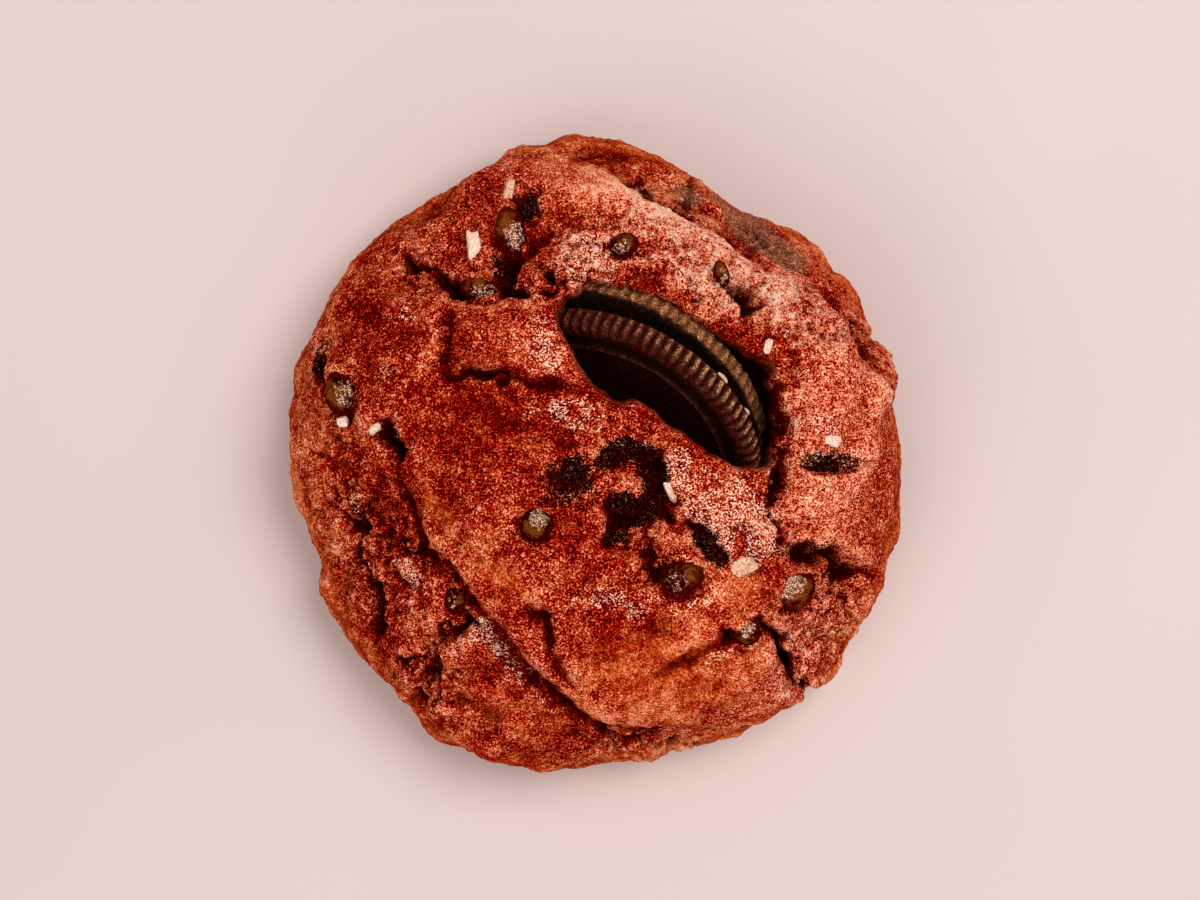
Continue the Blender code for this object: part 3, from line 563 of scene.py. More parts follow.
def grid_faces(rows, columns, wrap=False):
    """Quads of a grid of points stored row by row; wrap joins the last column to the first."""
    index = np.arange(rows * columns).reshape(rows, columns)
    if wrap:
        index = np.hstack([index, index[:, :1]])
    return np.stack([index[:-1, :-1], index[:-1, 1:], index[1:, 1:], index[1:, :-1]],
                    axis=-1).reshape(-1, 4)


def sphere_grid(rows, columns, start=0):
    """Points of a unit sphere row by row from its top, and its faces, poles closed; start
    is the index of its first point."""
    polar = np.linspace(0.0, math.pi, rows + 2)[1:-1]
    angle = np.linspace(0.0, 2.0 * math.pi, columns, endpoint=False)
    body = np.stack([np.outer(np.sin(polar), np.cos(angle)),
                     np.outer(np.sin(polar), np.sin(angle)),
                     np.repeat(np.cos(polar)[:, None], columns, axis=1)], axis=-1).reshape(-1, 3)
    ring = np.arange(columns)
    last = len(body) - columns + ring
    top = np.full(columns, len(body))
    sides = grid_faces(rows, columns, wrap=True)[:, ::-1]
    cap = np.stack([ring, np.roll(ring, -1), top], axis=-1)
    foot = np.stack([np.roll(last, -1), last, top + 1], axis=-1)
    faces = (sides + start).tolist() + (cap + start).tolist() + (foot + start).tolist()
    return np.vstack([body, [[0.0, 0.0, 1.0], [0.0, 0.0, -1.0]]]), faces


def add_mark(thing, name, values):
    """Store one number for each vertex, for the material to read by name."""
    mark = thing.data.attributes.new(name, "FLOAT", "POINT")
    mark.data.foreach_set("value", np.asarray(values, np.float32))


def hand_over(thing, node):
    """A finished piece rides on the body and stands for its solid."""
    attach(thing, BODY)
    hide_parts(node)


# ---- where the solids lie --------------------------------------------------------------

def box_middle(node):
    """Middle of a solid's box, in millimetres."""
    low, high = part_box(node)
    return np.array((low + high) * 0.5) / MM


def leaning_axes():
    """Unit vectors along the straight edge, up the face and out of the front face."""
    turn, lean = math.radians(WAFER_TURN), math.radians(WAFER_LEAN)
    along = np.array([math.cos(turn), math.sin(turn), 0.0])
    out = np.array([math.sin(turn) * math.sin(lean), -math.cos(turn) * math.sin(lean),
                    math.cos(lean)])
    return np.stack([along, np.cross(out, along), out])


def plan_shift():
    """How far the solids were moved in plan to centre them: the middle of the front wafer's
    box, less that of the half circles along the edges of its rim, worked out here."""
    angle = np.linspace(0.0, math.pi, 181)
    arc = np.stack([WAFER_RADIUS * np.cos(angle), WAFER_RADIUS * np.sin(angle)], axis=-1)
    rims = np.vstack([np.column_stack([arc, np.full(len(arc), level)]) for level in RIM_EDGES])
    spots = rims @ leaning_axes() + SANDWICH
    own = 0.5 * (spots.min(axis=0) + spots.max(axis=0))
    shift = box_middle("wafer_front") - own
    return np.array([shift[0], shift[1], 0.0])


SHIFT = plan_shift()


# ---- the dough -------------------------------------------------------------------------

def plain_section():
    """The dome's section for an outline of 1: length along it, radius and level. The top
    is a superellipse from the middle to the waist, and a quarter ellipse leads to the base."""
    slope = np.linspace(0.0, math.pi / 2.0, 400)
    radius = np.concatenate([np.sin(slope) ** (2.0 / CROWN_RUN),
                             1.0 - (1.0 - FOOT) * (1.0 - np.cos(slope[1:]))])
    level = np.concatenate([WAIST + (HEIGHT - WAIST) * np.cos(slope) ** (2.0 / CROWN_RISE),
                            WAIST * (1.0 - np.sin(slope[1:]))])
    steps = np.hypot(np.diff(radius) * OUTLINE[0], np.diff(level))
    return np.concatenate([[0.0], np.cumsum(steps)]), radius, level


SECTION = plain_section()


def outline_radius(angle):
    """Distance from the middle to the outline, smooth between its given distances."""
    turn = (angle / (2.0 * math.pi)) % 1.0 * len(OUTLINE)
    first = np.floor(turn).astype(int)
    four = [OUTLINE[(first + step) % len(OUTLINE)] for step in (-1, 0, 1, 2)]
    return spline(*four, turn - first)


def crown(share, angle):
    """Plain dome: share of the way from the middle of the top to the base's edge."""
    length = np.clip(share, 0.0, 1.0) * SECTION[0][-1]
    reach = outline_radius(angle) * np.interp(length, SECTION[0], SECTION[1])
    return np.column_stack([reach * np.cos(angle), reach * np.sin(angle),
                            np.interp(length, SECTION[0], SECTION[2])])


def crown_normal(share, angle):
    """Outward normal of the plain dome: the cross product of a small step down it and one
    round it, and straight up at its middle."""
    step = 0.012
    down = crown(share + step, angle) - crown(share - step, angle)
    along = crown(share, angle + step) - crown(share, angle - step)
    normal = np.cross(down, along)
    normal[share <= step] = (0.0, 0.0, 1.0)
    return normal / np.linalg.norm(normal, axis=1, keepdims=True)


def dome_grid():
    """A square grid wrapped over the dome: for each point the share of the way from the
    middle of the top to the base's edge, and its bearing. Its steps widen towards the edge."""
    across, up = np.meshgrid(np.linspace(-1.0, 1.0, GRID + 1), np.linspace(-1.0, 1.0, GRID + 1))
    across, up = across.ravel(), up.ravel()
    wide = np.abs(across) >= np.abs(up)
    size = np.maximum(np.abs(across), np.abs(up))
    signed = np.where(wide, across, up)
    slope = math.pi / 4.0 * np.where(wide, up, -across) / np.where(size > 0.0, signed, 1.0)
    angle = slope + np.where(wide, 0.0, math.pi / 2.0) + np.where(signed < 0.0, math.pi, 0.0)
    return (1.0 - WIDENING) * size + WIDENING * size ** 4, angle


def fold_relief(plan, wander):
    """Each fold's high side rises over a rounded lip, and a narrow groove runs beside it.
    Returns that, and how far the low side drops straight down."""
    rise = np.zeros(len(plan))
    drop = np.zeros(len(plan))
    for knots, high, lift, shoulder, run, fall, low_run, groove in FOLDS:
        brink = 0.3 * fall
        route = smooth_route(knots)
        near, away, along = beside(route, plan + wander, 3.0 * max(run, low_run))
        away = away * high
        length = np.hypot(*np.diff(route, axis=0).T).sum()
        fade = fade_ends(along, min(max(5.0 / length, 0.12), 0.35))
        uneven = 0.75 + 0.5 * rough_line(along * 9.0, 42, row=lift)
        up = lift * np.exp(-np.abs(away) / run) * (1.0 - np.exp(-np.abs(away) / shoulder))
        down = fall * np.exp(-np.abs(away) / low_run) * (1.0 - np.exp(-np.abs(away) / brink))
        dip = groove * np.exp(-(away / 0.8) ** 2) * uneven
        rise[near] += fade * (np.where(away > 0.0, up, 0.0) - dip)
        drop[near] += fade * np.where(away > 0.0, 0.0, down)
    return rise, drop


def crack_relief(plan, wander):
    """Cracks: depth * exp(-(distance / half width)^2), wider and narrower along the way.
    Also returns how near each point is to one."""
    depth = np.zeros(len(plan))
    edge = np.zeros(len(plan))
    for index, (knots, half_width, deep) in enumerate(CRACKS):
        near, away, along = beside(smooth_route(knots), plan + wander, 5.0 * half_width + 2.0)
        ragged = 0.75 + 0.6 * rough_line(along * 12.0, 41, row=index)
        fade = fade_ends(along, 0.1)
        open_here = np.exp(-(away / (half_width * np.maximum(ragged, 0.25))) ** 2) * fade
        depth[near] = np.maximum(depth[near], deep * open_here)
        edge[near] = np.maximum(edge[near], fade * np.exp(-(away / 2.4) ** 2))
    return depth, edge


def inside_slot(plan):
    """Distance in from the slot's rim, negative outside it."""
    route = smooth_route(SLOT_RIM, closed=True)
    near, away, _ = beside(route, plan, 3.0)
    inward = np.full(len(plan), -9.0)
    inward[near] = away
    return inward


def dusty_hollows(plan):
    """How near each point is to a route where wafer dust lies: exp(-(distance / width)^4)."""
    dust = np.zeros(len(plan))
    for knots, half_width in DUSTY_ROUTES:
        near, away, along = beside(smooth_route(knots), plan, 2.0 * half_width)
        lies = fade_ends(along, 0.1) * np.exp(-(away / half_width) ** 4)
        dust[near] = np.maximum(dust[near], lies)
    return dust


def chip_moats(plan):
    """Narrow hollows round the near side of the chips and crumbs, less the dough that laps
    over their far side. Each is exp(-((distance in half sizes - place) / width)^2)."""
    moat = np.zeros(len(plan))
    for node, half_sizes, turn in CHIPS + CRUMBS:
        gap = turned(plan - (box_middle(node) - SHIFT)[:2], -turn)
        away = np.hypot(gap[:, 0] / half_sizes[0], gap[:, 1] / half_sizes[1])
        below = (box_middle(node)[1] - SHIFT[1] - plan[:, 1]) / half_sizes[1]
        deep = np.exp(-((away - MOAT_PLACE) / MOAT_WIDTH) ** 2)
        deep = deep * np.clip(0.6 + 0.5 * below, 0.0, 1.2)
        lap = np.exp(-((away - LAP_PLACE) / LAP_WIDTH) ** 2) * np.clip(-0.3 - below, 0.0, 1.0)
        moat += np.where(away < 2.5, deep, 0.0)
        moat -= np.where(away < 2.5, lap, 0.0)
    return moat


def broken_chunks(points, wander):
    """Crumbly crust: chunks, and bits on them, that stand at heights of their own, parted
    by sunken seams exp(-((next distance - nearest distance) / width)^2)."""
    strayed = points + 1.6 * np.pad(wander, ((0, 0), (0, 1)))
    first, second, owner = lumps(strayed, CHUNK_SIZE, 61)
    seam = np.exp(-((second - first) / 0.12) ** 2)
    fine_first, fine_second, fine_owner = lumps(points, BIT_SIZE, 62)
    fine_seam = np.exp(-((fine_second - fine_first) / 0.2) ** 2)
    return (CHUNK_RISE * (owner - 0.5) - 0.5 * seam
            + BIT_RISE * (fine_owner - 0.5) - 0.3 * fine_seam)


def baked_pores(points):
    """Small round pits, exp(-(distance / width)^2) in cell sizes, in some of the cells."""
    away, _, pick = lumps(points, PORE_CELL, 71)
    return np.where(pick > NO_PORE, np.exp(-(away / PORE_WIDTH) ** 2), 0.0)


def dough_relief(points, normals):
    """Height to add along the normal, height to take away straight down, and the marks
    that the material reads. Every line strays a little, so nothing is drawn clean."""
    plan = points[:, :2]
    wander = sum(far * rough_axes(points, size, seed) for far, size, seed in STRAYING)
    fold, drop = fold_relief(plan, wander)
    crack, edge = crack_relief(plan, wander * 1.6)
    crack *= 0.35 + 0.65 * ease(points[:, 2], 2.0, 14.0)
    crag = np.clip(patch(plan, CRAGS), 0.0, 1.0)
    crag = np.maximum(np.maximum(crag, 0.15 * ease(normals[:, 2], 0.55, 0.1)), 0.7 * edge)
    rise = patch(plan, SWELLS) + fold - crack + crag * broken_chunks(points, wander)
    rise -= MOAT * chip_moats(plan + 0.6 * wander)
    rise -= patch(plan + 2.0 * wander, PITS, 2.0)
    rise += sum(height * rough(points, size, seed) for height, size, seed in UNEVENNESS)
    bumps = rough(points, BUMP_SIZE, 83, 2)
    rise += (BUMP_HEIGHT + CRAG_HEIGHT * crag) * bumps - PORE_DEPTH * baked_pores(points)
    rise += GRIT_HEIGHT * rough(points, GRIT_SIZE, 84)
    rise *= ease(points[:, 2], 0.0, FOOT_FADE)
    drop *= ease(points[:, 2], *DROP_FADE)
    return rise, drop, crust_marks(points, normals, wander, rise - drop, crag)


def crust_marks(points, normals, wander, relief, crag):
    """Numbers for the material, by name. Hollows and lips are where the relief lies below
    or above its own average, over a narrow and a wide window; the rest are patches. The
    hollow mark carries painted shade and the lip mark a painted highlight."""
    plan = points[:, :2]
    near = relief - soften(relief, NARROW)
    wide = relief - soften(relief, WIDE)
    low = np.clip(-near / 0.5, 0.0, 1.0) * 0.6 + np.clip(-wide / 1.6 - 0.15, 0.0, 1.0)
    pale = np.clip(patch(plan + 2.0 * wander, PALE_AND_LIT), 0.0, 1.5)
    frost_and_sheen = np.clip(patch(plan + wander, FROST_AND_SHEEN), 0.0, 1.4) * ease(normals[:, 2], 0.2, 0.6)
    broken = ease(rough(points, 2.8, 95, 2) + 0.5 * wide, -0.45, 0.25)
    smear = np.maximum(patch(plan + wander, SMEARS), 1.2 * dusty_hollows(plan + wander))
    return {"hollow": low * (1.0 - 0.35 * pale * ease(1.2 - low, 0.0, 0.8)),
            # lips: raised edges, lightened as a painted highlight
            "lip": np.clip(near / 0.35, 0.0, 1.0) * 0.5 + np.clip(wide / 1.4, 0.0, 1.0),
            "frost_and_sheen": frost_and_sheen * (0.3 + broken),
            "smear": np.clip(smear, 0.0, 1.2),
            "deep": np.clip(patch(plan, DEEP_AND_SHADED), 0.0, 1.0),
            "tan": np.clip(patch(plan, TAN), 0.0, 1.0),
            "pale": pale,
            "dull": np.clip(patch(plan + 0.6 * wander, DULL), 0.0, 1.0),
            "crag": crag,
            # steep sides, lightened in the crust's brightness as a painted glancing sheen
            "side": ease(normals[:, 2], 0.7, 0.25)}


def close_base(points):
    """Rings from the grid's edge across the flat base, shrinking to a point: all the
    points, and all the faces of the crust."""
    index = np.arange((GRID + 1) ** 2).reshape(GRID + 1, GRID + 1)
    rim = np.concatenate([index[0, :-1], index[:-1, -1], index[-1, :0:-1], index[:0:-1, 0]])
    around = len(rim)
    rings = [points[rim] * (scale, scale, 0.0) for scale in BASE_RINGS]
    rows = [rim] + [len(points) + np.arange(around) + around * ring for ring in range(len(rings))]
    faces = grid_faces(GRID + 1, GRID + 1).tolist()
    for outer, inner in zip(rows, rows[1:]):
        faces += np.stack([outer, inner, np.roll(inner, -1), np.roll(outer, -1)], -1).tolist()
    hub = np.full(around, len(points) + around * len(rings))
    faces += np.stack([rows[-1], hub, np.roll(rows[-1], -1)], axis=-1).tolist()
    return np.vstack([points] + rings + [[[0.0, 0.0, 0.0]]]), faces


def dough_surface(material):
    """The cookie's crust: the dome's grid carried along its normals by the relief, dropped
    beside the folds, sunk to the slot's floor inside its rim, and closed at the base."""
    share, angle = dome_grid()
    plain = crown(share, angle)
    normals = crown_normal(share, angle)
    rise, drop, marks = dough_relief(plain, normals)
    points = plain + normals * rise[:, None]
    points[:, 2] -= drop
    inward = inside_slot(plain[:, :2] + RIM_STRAY * rough_axes(plain, 2.4, 91, 2))
    points[:, 2] += (SLOT_FLOOR - points[:, 2]) * ease(inward, 0.0, SLOT_WALL)
    # the inside of the slot is given painted shade as well
    marks["hollow"] = np.maximum(marks["hollow"], 0.8 * ease(inward, 0.3, 1.6))
    closed, faces = close_base(points)
    skin = make_mesh("dough_crust", closed + SHIFT, faces, material)
    for name, values in marks.items():
        add_mark(skin, name, np.pad(values, (0, len(closed) - len(points))))
    return skin


# ---- the sandwich piece ----------------------------------------------------------------

def half_turned(radius, height, way):
    """A section turned through 180 degrees: its points (radius, height) set out along each
    of the directions in way."""
    flat = radius[..., None] * way[:, None, :]
    height = np.broadcast_to(height, flat.shape[:2])
    return np.concatenate([flat, height[..., None]], axis=-1).reshape(-1, 3)


def half_disc_faces(rows, count):
    """Faces of a half disc made of rows of so many section points, its flat ends closed."""
    faces = grid_faces(rows, count).tolist()
    faces.append(list(range(count)))
    faces.append(list(range(rows * count - 1, (rows - 1) * count - 1, -1)))
    return faces


def set_on_edge(points, slide, level):
    """Points of the sandwich piece's own frame, put where it stands in the slot."""
    return (points + (slide, 0.0, level)) @ leaning_axes() + SANDWICH + SHIFT


def wafer_outline(front):
    """Section of a wafer from the middle of its outer face round to that of its inner face."""
    edge, top = WAFER_RADIUS, WAFER_THICK
    border, field = edge - WAFER_BORDER, top - WAFER_DISH
    knots = [(0.0, field), (6.0, field), (12.0, field)]
    if front:
        knots += [(RING_RADIUS - 0.45, field), (RING_RADIUS - 0.15, field + RING_RISE),
                  (RING_RADIUS + 0.15, field + RING_RISE), (RING_RADIUS + 0.45, field)]
    knots += [(border - 0.3, field), (border + 0.1, field + 0.25), (border + 0.5, top - 0.02),
              (border + 1.2, top), (edge - 0.9, top), (edge - 0.35, top - 0.18),
              (edge - 0.05, top - 0.7), (edge, top - 1.4), (edge, 1.0), (edge - 0.15, 0.3),
              (edge - 0.6, 0.0), (edge - 2.0, 0.0), (12.0, 0.0), (0.0, 0.0)]
    return smooth_route(knots, per_span=4)


def wafer_marks(radius, height, angle, tooth, border, front):
    """Numbers for the material, by name: shaded, painted shade in the plain field and on the
    inner side, less along the front wafer's ring and more at the back wafer's left end;
    ridge_highlight, a painted highlight on the ridges, most on the front rim's side towards
    its right end; and valley_shade, painted shade between them."""
    shaded = np.maximum(1.0 - ease(radius, WAFER_RADIUS - 2.6, WAFER_RADIUS - 0.9),
                        1.0 - ease(height, 0.1, 0.6))
    ridge_highlight = (1.0 - tooth) * (1.0 - shaded)
    valley_shade = tooth * border * (1.0 - shaded)
    if front:
        # painted highlight on the rim's side, strongest towards the right end
        rim_highlight = 0.12 + 0.88 * ease(height, WAFER_THICK - 0.1, WAFER_THICK - 0.9)
        ridge_highlight = ridge_highlight * (rim_highlight * (0.4 + 0.6 * ease(angle, 2.3, 1.2))[:, None])
        shaded = shaded - 0.4 * np.exp(-((radius - RING_RADIUS) / 0.25) ** 2)
    else:
        shaded = np.maximum(shaded, 1.0 - ease(angle, 0.4, 0.9)[:, None])
    return {"shaded": shaded, "ridge_highlight": ridge_highlight, "valley_shade": valley_shade}


def wafer(name, material, front):
    """A half disc: the section turned through 180 degrees. Past the plain field its radius
    and height follow the ridges, depth * (1 - |sin(ridges * angle / 2)|^1.5). The back one
    is worn, crumbly and faces the other way."""
    section = wafer_outline(front)
    rows = WAFER_RIDGES // 2 * RIDGE_STEPS + 1
    angle = np.linspace(0.0, math.pi, rows)
    tooth = 1.0 - np.abs(np.sin(WAFER_RIDGES / 2.0 * angle)) ** 1.5
    tooth = tooth[:, None] * (1.0 if front else BACK_RIDGES)
    radius = np.broadcast_to(section[:, 0], (rows, len(section)))
    height = np.broadcast_to(section[:, 1], (rows, len(section)))
    start = WAFER_RADIUS - WAFER_BORDER
    border = ease(radius, start + 0.2, start + 1.0)
    radius = radius - RIDGE_DEPTH * tooth * border * ease(height, 0.2, 0.8)
    top = ease(height, WAFER_THICK - 0.8, WAFER_THICK)
    height = height - 0.5 * RIDGE_DEPTH * tooth * border * top
    marks = wafer_marks(radius, height, angle, tooth, border, front)
    points = half_turned(radius, height, np.column_stack([np.cos(angle), np.sin(angle)]))
    wear = FRONT_WEAR if front else BACK_WEAR
    points += wear * rough_axes(points, 0.7, 11, axes=3)
    points[:, 2] += 0.05 * rough(points, 3.0, 15)
    if front:
        points = set_on_edge(points, 0.0, 0.0)
    else:
        points = set_on_edge(points * (-1.0, 1.0, -1.0), BACK_SLIDE, BACK_LEVEL)
    piece = make_mesh(name, points, half_disc_faces(rows, len(section)), material)
    for mark, values in marks.items():
        add_mark(piece, mark, values.ravel())
    return piece


def cream_layer(material):
    """Cream set back between the wafers, a half disc with an uneven bulging edge, and two
    flecks of it, sphere grids with an uneven surface, squeezed out to the rim."""
    edge, inner, thick = CREAM_RADIUS, CREAM_RADIUS * 0.6, CREAM_THICK
    profile = smooth_route([(0.0, thick), (inner, thick), (edge - 0.5, thick), (edge, thick * 0.5),
                            (edge - 0.5, 0.0), (inner, 0.0), (0.0, 0.0)])
    angle = np.linspace(0.0, math.pi, CREAM_STEPS + 1)
    reach = 1.0 + CREAM_RAGGED * rough_line(angle * 6.0, 21, layers=2)
    way = np.column_stack([np.cos(angle) * reach, np.sin(angle) * reach])
    points = half_turned(profile[:, 0], profile[:, 1], way)
    faces = half_disc_faces(CREAM_STEPS + 1, len(profile))
    for bearing, half_sizes in CREAM_FLECKS:
        turn = math.radians(bearing)
        unit, ball = sphere_grid(20, 28, start=len(points))
        fleck = unit * half_sizes * (1.0 + 0.15 * rough(unit + bearing, 0.8, 22))[:, None]
        fleck = turned(fleck, bearing)
        fleck += (FLECK_RADIUS * math.cos(turn), FLECK_RADIUS * math.sin(turn), thick * 0.75)
        faces += ball
        points = np.vstack([points, fleck])
    points = set_on_edge(points, BACK_SLIDE / 2.0, CREAM_LEVEL)
    return make_mesh("cream_layer", points, faces, material)


# ---- chips and crumbs ------------------------------------------------------------------

def facing(bearing, tilt):
    """Unit vector that faces a bearing in plan and rises by so much."""
    flat = math.sqrt(1.0 - tilt * tilt)
    turn = math.radians(bearing)
    return np.array([flat * math.cos(turn), flat * math.sin(turn), tilt])


def lump(row, kind, material, seed):
    """A sphere grid made into a blunt uneven chip, a bar with squared-off sides (each
    coordinate to the power 0.6) or a crumb of broken cells, with a fine grain over it."""
    node, half_sizes, turn = row
    unit, faces = sphere_grid(40, 56)
    if kind == "chip":
        narrow = 1.0 - 0.22 * np.clip(unit[:, 2], 0.0, 1.0)
        spot = unit * np.column_stack([narrow, narrow, np.ones(len(unit))])
        spot *= 1.0 + 0.2 * rough(unit + seed, 0.9, 5, 3)[:, None]
    elif kind == "bar":
        spot = np.sign(unit) * np.abs(unit) ** 0.6
        spot *= 1.0 + 0.4 * rough(unit + seed, 0.9, 6, 3)[:, None]
    else:
        first, second, owner = lumps(unit * 2.0 + seed * 3.0, 1.1, 8)
        seam = np.exp(-((second - first) / 0.12) ** 2)
        size = 1.0 + 0.35 * (owner - 0.6) - 0.25 * seam + 0.1 * rough(unit + seed, 0.3, 9, 2)
        spot = unit * size[:, None]
    spot = turned(spot * half_sizes, turn)
    spot += 0.09 * rough(spot + seed * 7.0, 0.6, 10, 2)[:, None] * unit
    piece = make_mesh(node + "_body", spot + box_middle(node), faces, material)
    add_mark(piece, "rim", 1.0 - ease(unit[:, 2], 0.1, 0.75))
    if kind == "chip":
        # marks for the painted highlight on the lit side, and for sugary specks with painted glints
        # opposite it
        bearing, lit_amber, frost_and_sheen = CHIP_LOOKS[node]
        add_mark(piece, "lit_amber", lit_amber * ease(unit @ facing(bearing, LIT_AMBER_TILT), 0.3, 0.95))
        add_mark(piece, "frost_and_sheen", frost_and_sheen * ease(unit @ facing(bearing + 180, SUGAR_GLINT_TILT), 0.4, 0.95))
    return piece


# ---- colours, from the darkest grain to the lightest -----------------------------------

# brightness, then red, green and blue from 0 to 255
CRUST_COLOURS = (
    (0.11, (44, 0, 0)), (0.22, (74, 0, 0)), (0.34, (110, 1, 0)), (0.44, (142, 8, 1)),
    (0.54, (174, 34, 8)), (0.62, (206, 74, 36)), (0.70, (232, 112, 72)),
    (0.80, (246, 156, 124)), (1.0, (253, 200, 172)),
)
BROWNED_COLOURS = (
    (0.11, (60, 2, 0)), (0.34, (128, 20, 2)), (0.48, (172, 52, 12)), (0.59, (206, 88, 36)),
    (0.70, (232, 122, 76)), (0.80, (246, 160, 122)), (1.0, (253, 204, 174)),
)
DUST_COLOURS = ((0.46, (18, 0, 0)), (0.56, (50, 4, 2)), (0.64, (120, 56, 40)),
                (0.72, (214, 150, 122)))
CRUMB_COLOURS = ((0.46, (18, 0, 0)), (0.57, (46, 4, 2)), (0.64, (112, 52, 38)),
                 (0.72, (206, 144, 118)))
CHOCOLATE_COLOURS = ((0.1, (42, 1, 0)), (0.6, (80, 10, 3)), (1.0, (122, 38, 12)))


def rgb(red, green, blue):
    """A linear colour from the 0 to 255 numbers of a screen colour."""
    shares = np.array([red, green, blue]) / 255.0
    linear = np.where(shares <= 0.04045, shares / 12.92, ((shares + 0.055) / 1.055) ** 2.4)
    return (*linear.tolist(), 1.0)


# ---- materials -------------------------------------------------------------------------

class Nodes:
    """Short names for adding and joining nodes in one tree."""

    def __init__(self, tree):
        self.tree = tree

    def add(self, kind, **settings):
        node = self.tree.nodes.new(kind)
        for name, value in settings.items():
            setattr(node, name, value)
        return node

    def join(self, source, target):
        self.tree.links.new(source, target)

    def feed(self, socket, value):
        """Set a socket to a number or colour, or join it to another socket."""
        if isinstance(value, bpy.types.NodeSocket):
            self.tree.links.new(value, socket)
        else:
            socket.default_value = value

    def math(self, operation, first, second=0.0, third=0.0, clamp=False):
        node = self.add("ShaderNodeMath", operation=operation, use_clamp=clamp)
        for socket, value in zip(node.inputs, (first, second, third)):
            self.feed(socket, value)
        return node.outputs[0]

    def vary(self, value, tone, share, clamp=False):
        """A value, raised or lowered by a share of how far a tone is from 0.5."""
        off_middle = self.math("SUBTRACT", tone, 0.5)
        return self.math("MULTIPLY_ADD", off_middle, share, value, clamp)

    def blend(self, share, low, high):
        """The first colour where the share is 0, the second where it is 1."""
        node = self.add("ShaderNodeMix", data_type="RGBA", blend_type="MIX")
        node.clamp_factor = True
        self.feed(node.inputs["Factor"], share)
        self.feed(node.inputs["A"], low)
        self.feed(node.inputs["B"], high)
        return node.outputs["Result"]

    def stretch(self, value, low, high, to_low=0.0, to_high=1.0):
        """The smooth step from low to high, as in ease."""
        node = self.add("ShaderNodeMapRange", interpolation_type="SMOOTHSTEP")
        self.feed(node.inputs["Value"], value)
        self.feed(node.inputs["From Min"], low)
        self.feed(node.inputs["From Max"], high)
        self.feed(node.inputs["To Min"], to_low)
        self.feed(node.inputs["To Max"], to_high)
        return node.outputs["Result"]

    def ramp(self, value, stops):
        """Colours at given values, blended between them."""
        node = self.add("ShaderNodeValToRGB")
        places = node.color_ramp.elements
        while len(places) < len(stops):
            places.new(0.5)
        for place, (position, colour) in zip(places, stops):
            place.position = position
            place.color = rgb(*colour)
        self.feed(node.inputs["Fac"], value)
        return node.outputs["Color"]

    def noise(self, place, scale, detail, roughness):
        node = self.add("ShaderNodeTexNoise")
        self.feed(node.inputs["Vector"], place)
        self.feed(node.inputs["Scale"], scale)
        self.feed(node.inputs["Detail"], detail)
        self.feed(node.inputs["Roughness"], roughness)
        return node.outputs["Fac"]

    def mark(self, name):
        """Read the number that add_mark stored."""
        return self.add("ShaderNodeAttribute", attribute_name=name).outputs["Fac"]

    def group(self, tree, **values):
        """Place a node group with its own values; returns its outputs."""
        node = self.add("ShaderNodeGroup", node_tree=tree)
        for label, value in values.items():
            node.inputs[label.replace("_", " ")].default_value = value
        return node.outputs


def new_group(name, given, results):
    """A node group with one number to set and several to give; returns its nodes, the
    sockets inside it that hold the first, and those that take the others."""
    tree = bpy.data.node_groups.new(name, "ShaderNodeTree")
    label, value = given
    socket = tree.interface.new_socket(label, in_out="INPUT", socket_type="NodeSocketFloat")
    socket.default_value = value
    for result in results:
        tree.interface.new_socket(result, in_out="OUTPUT", socket_type="NodeSocketFloat")
    nodes = Nodes(tree)
    return nodes, nodes.add("NodeGroupInput").outputs, nodes.add("NodeGroupOutput").inputs


def crumb_grain_group():
    """Fine baked grain: smooth noise mixed with a coarser one. Its high values are light
    flecks, its low values dark grains, and the mix itself is the height that goes with them."""
    nodes, given, result = new_group("crumb_grain", ("Grain Size mm", 0.3),
                                     ("Light", "Dark", "Height"))
    place = nodes.add("ShaderNodeTexCoord").outputs["Object"]
    scale = nodes.math("DIVIDE", 1000.0, given["Grain Size mm"])
    fine = nodes.noise(place, scale, 1.0, 0.5)
    coarse = nodes.noise(place, nodes.math("DIVIDE", scale, 2.6), 1.0, 0.5)
    mixed = nodes.math("ADD", nodes.math("MULTIPLY", fine, 0.75),
                       nodes.math("MULTIPLY", coarse, 0.25))
    nodes.join(nodes.stretch(mixed, 0.48, 0.62), result["Light"])
    nodes.join(nodes.stretch(mixed, 0.53, 0.41), result["Dark"])
    nodes.join(mixed, result["Height"])
    return nodes.tree


def mottle_group():
    """Slow changes of tone over a surface, from 0 to 1, at three sizes."""
    nodes, given, result = new_group("mottle", ("Size mm", 8.0), ("Broad", "Middle", "Small"))
    place = nodes.add("ShaderNodeTexCoord").outputs["Object"]
    scale = nodes.math("DIVIDE", 1000.0, given["Size mm"])
    nodes.join(nodes.stretch(nodes.noise(place, scale, 2.0, 0.5), 0.35, 0.65), result["Broad"])
    for label, finer in (("Middle", 2.3), ("Small", 7.0)):
        part = nodes.noise(place, nodes.math("MULTIPLY", scale, finer), 2.0, 0.6)
        nodes.join(nodes.stretch(part, 0.35, 0.65), result[label])
    return nodes.tree


GRAIN = crumb_grain_group()
MOTTLE = mottle_group()


def new_material(name, roughness, specular, mottle_size, grain_size=None):
    """A material with its shader, its slow tones and its fine grain, sized in millimetres."""
    material = bpy.data.materials.new(name)
    material.use_nodes = True
    nodes = Nodes(material.node_tree)
    shader = material.node_tree.nodes["Principled BSDF"]
    shader.inputs["Roughness"].default_value = roughness
    shader.inputs["Specular IOR Level"].default_value = specular
    tone = nodes.group(MOTTLE, Size_mm=mottle_size)
    grain = nodes.group(GRAIN, Grain_Size_mm=grain_size) if grain_size else None
    return material, nodes, shader, tone, grain


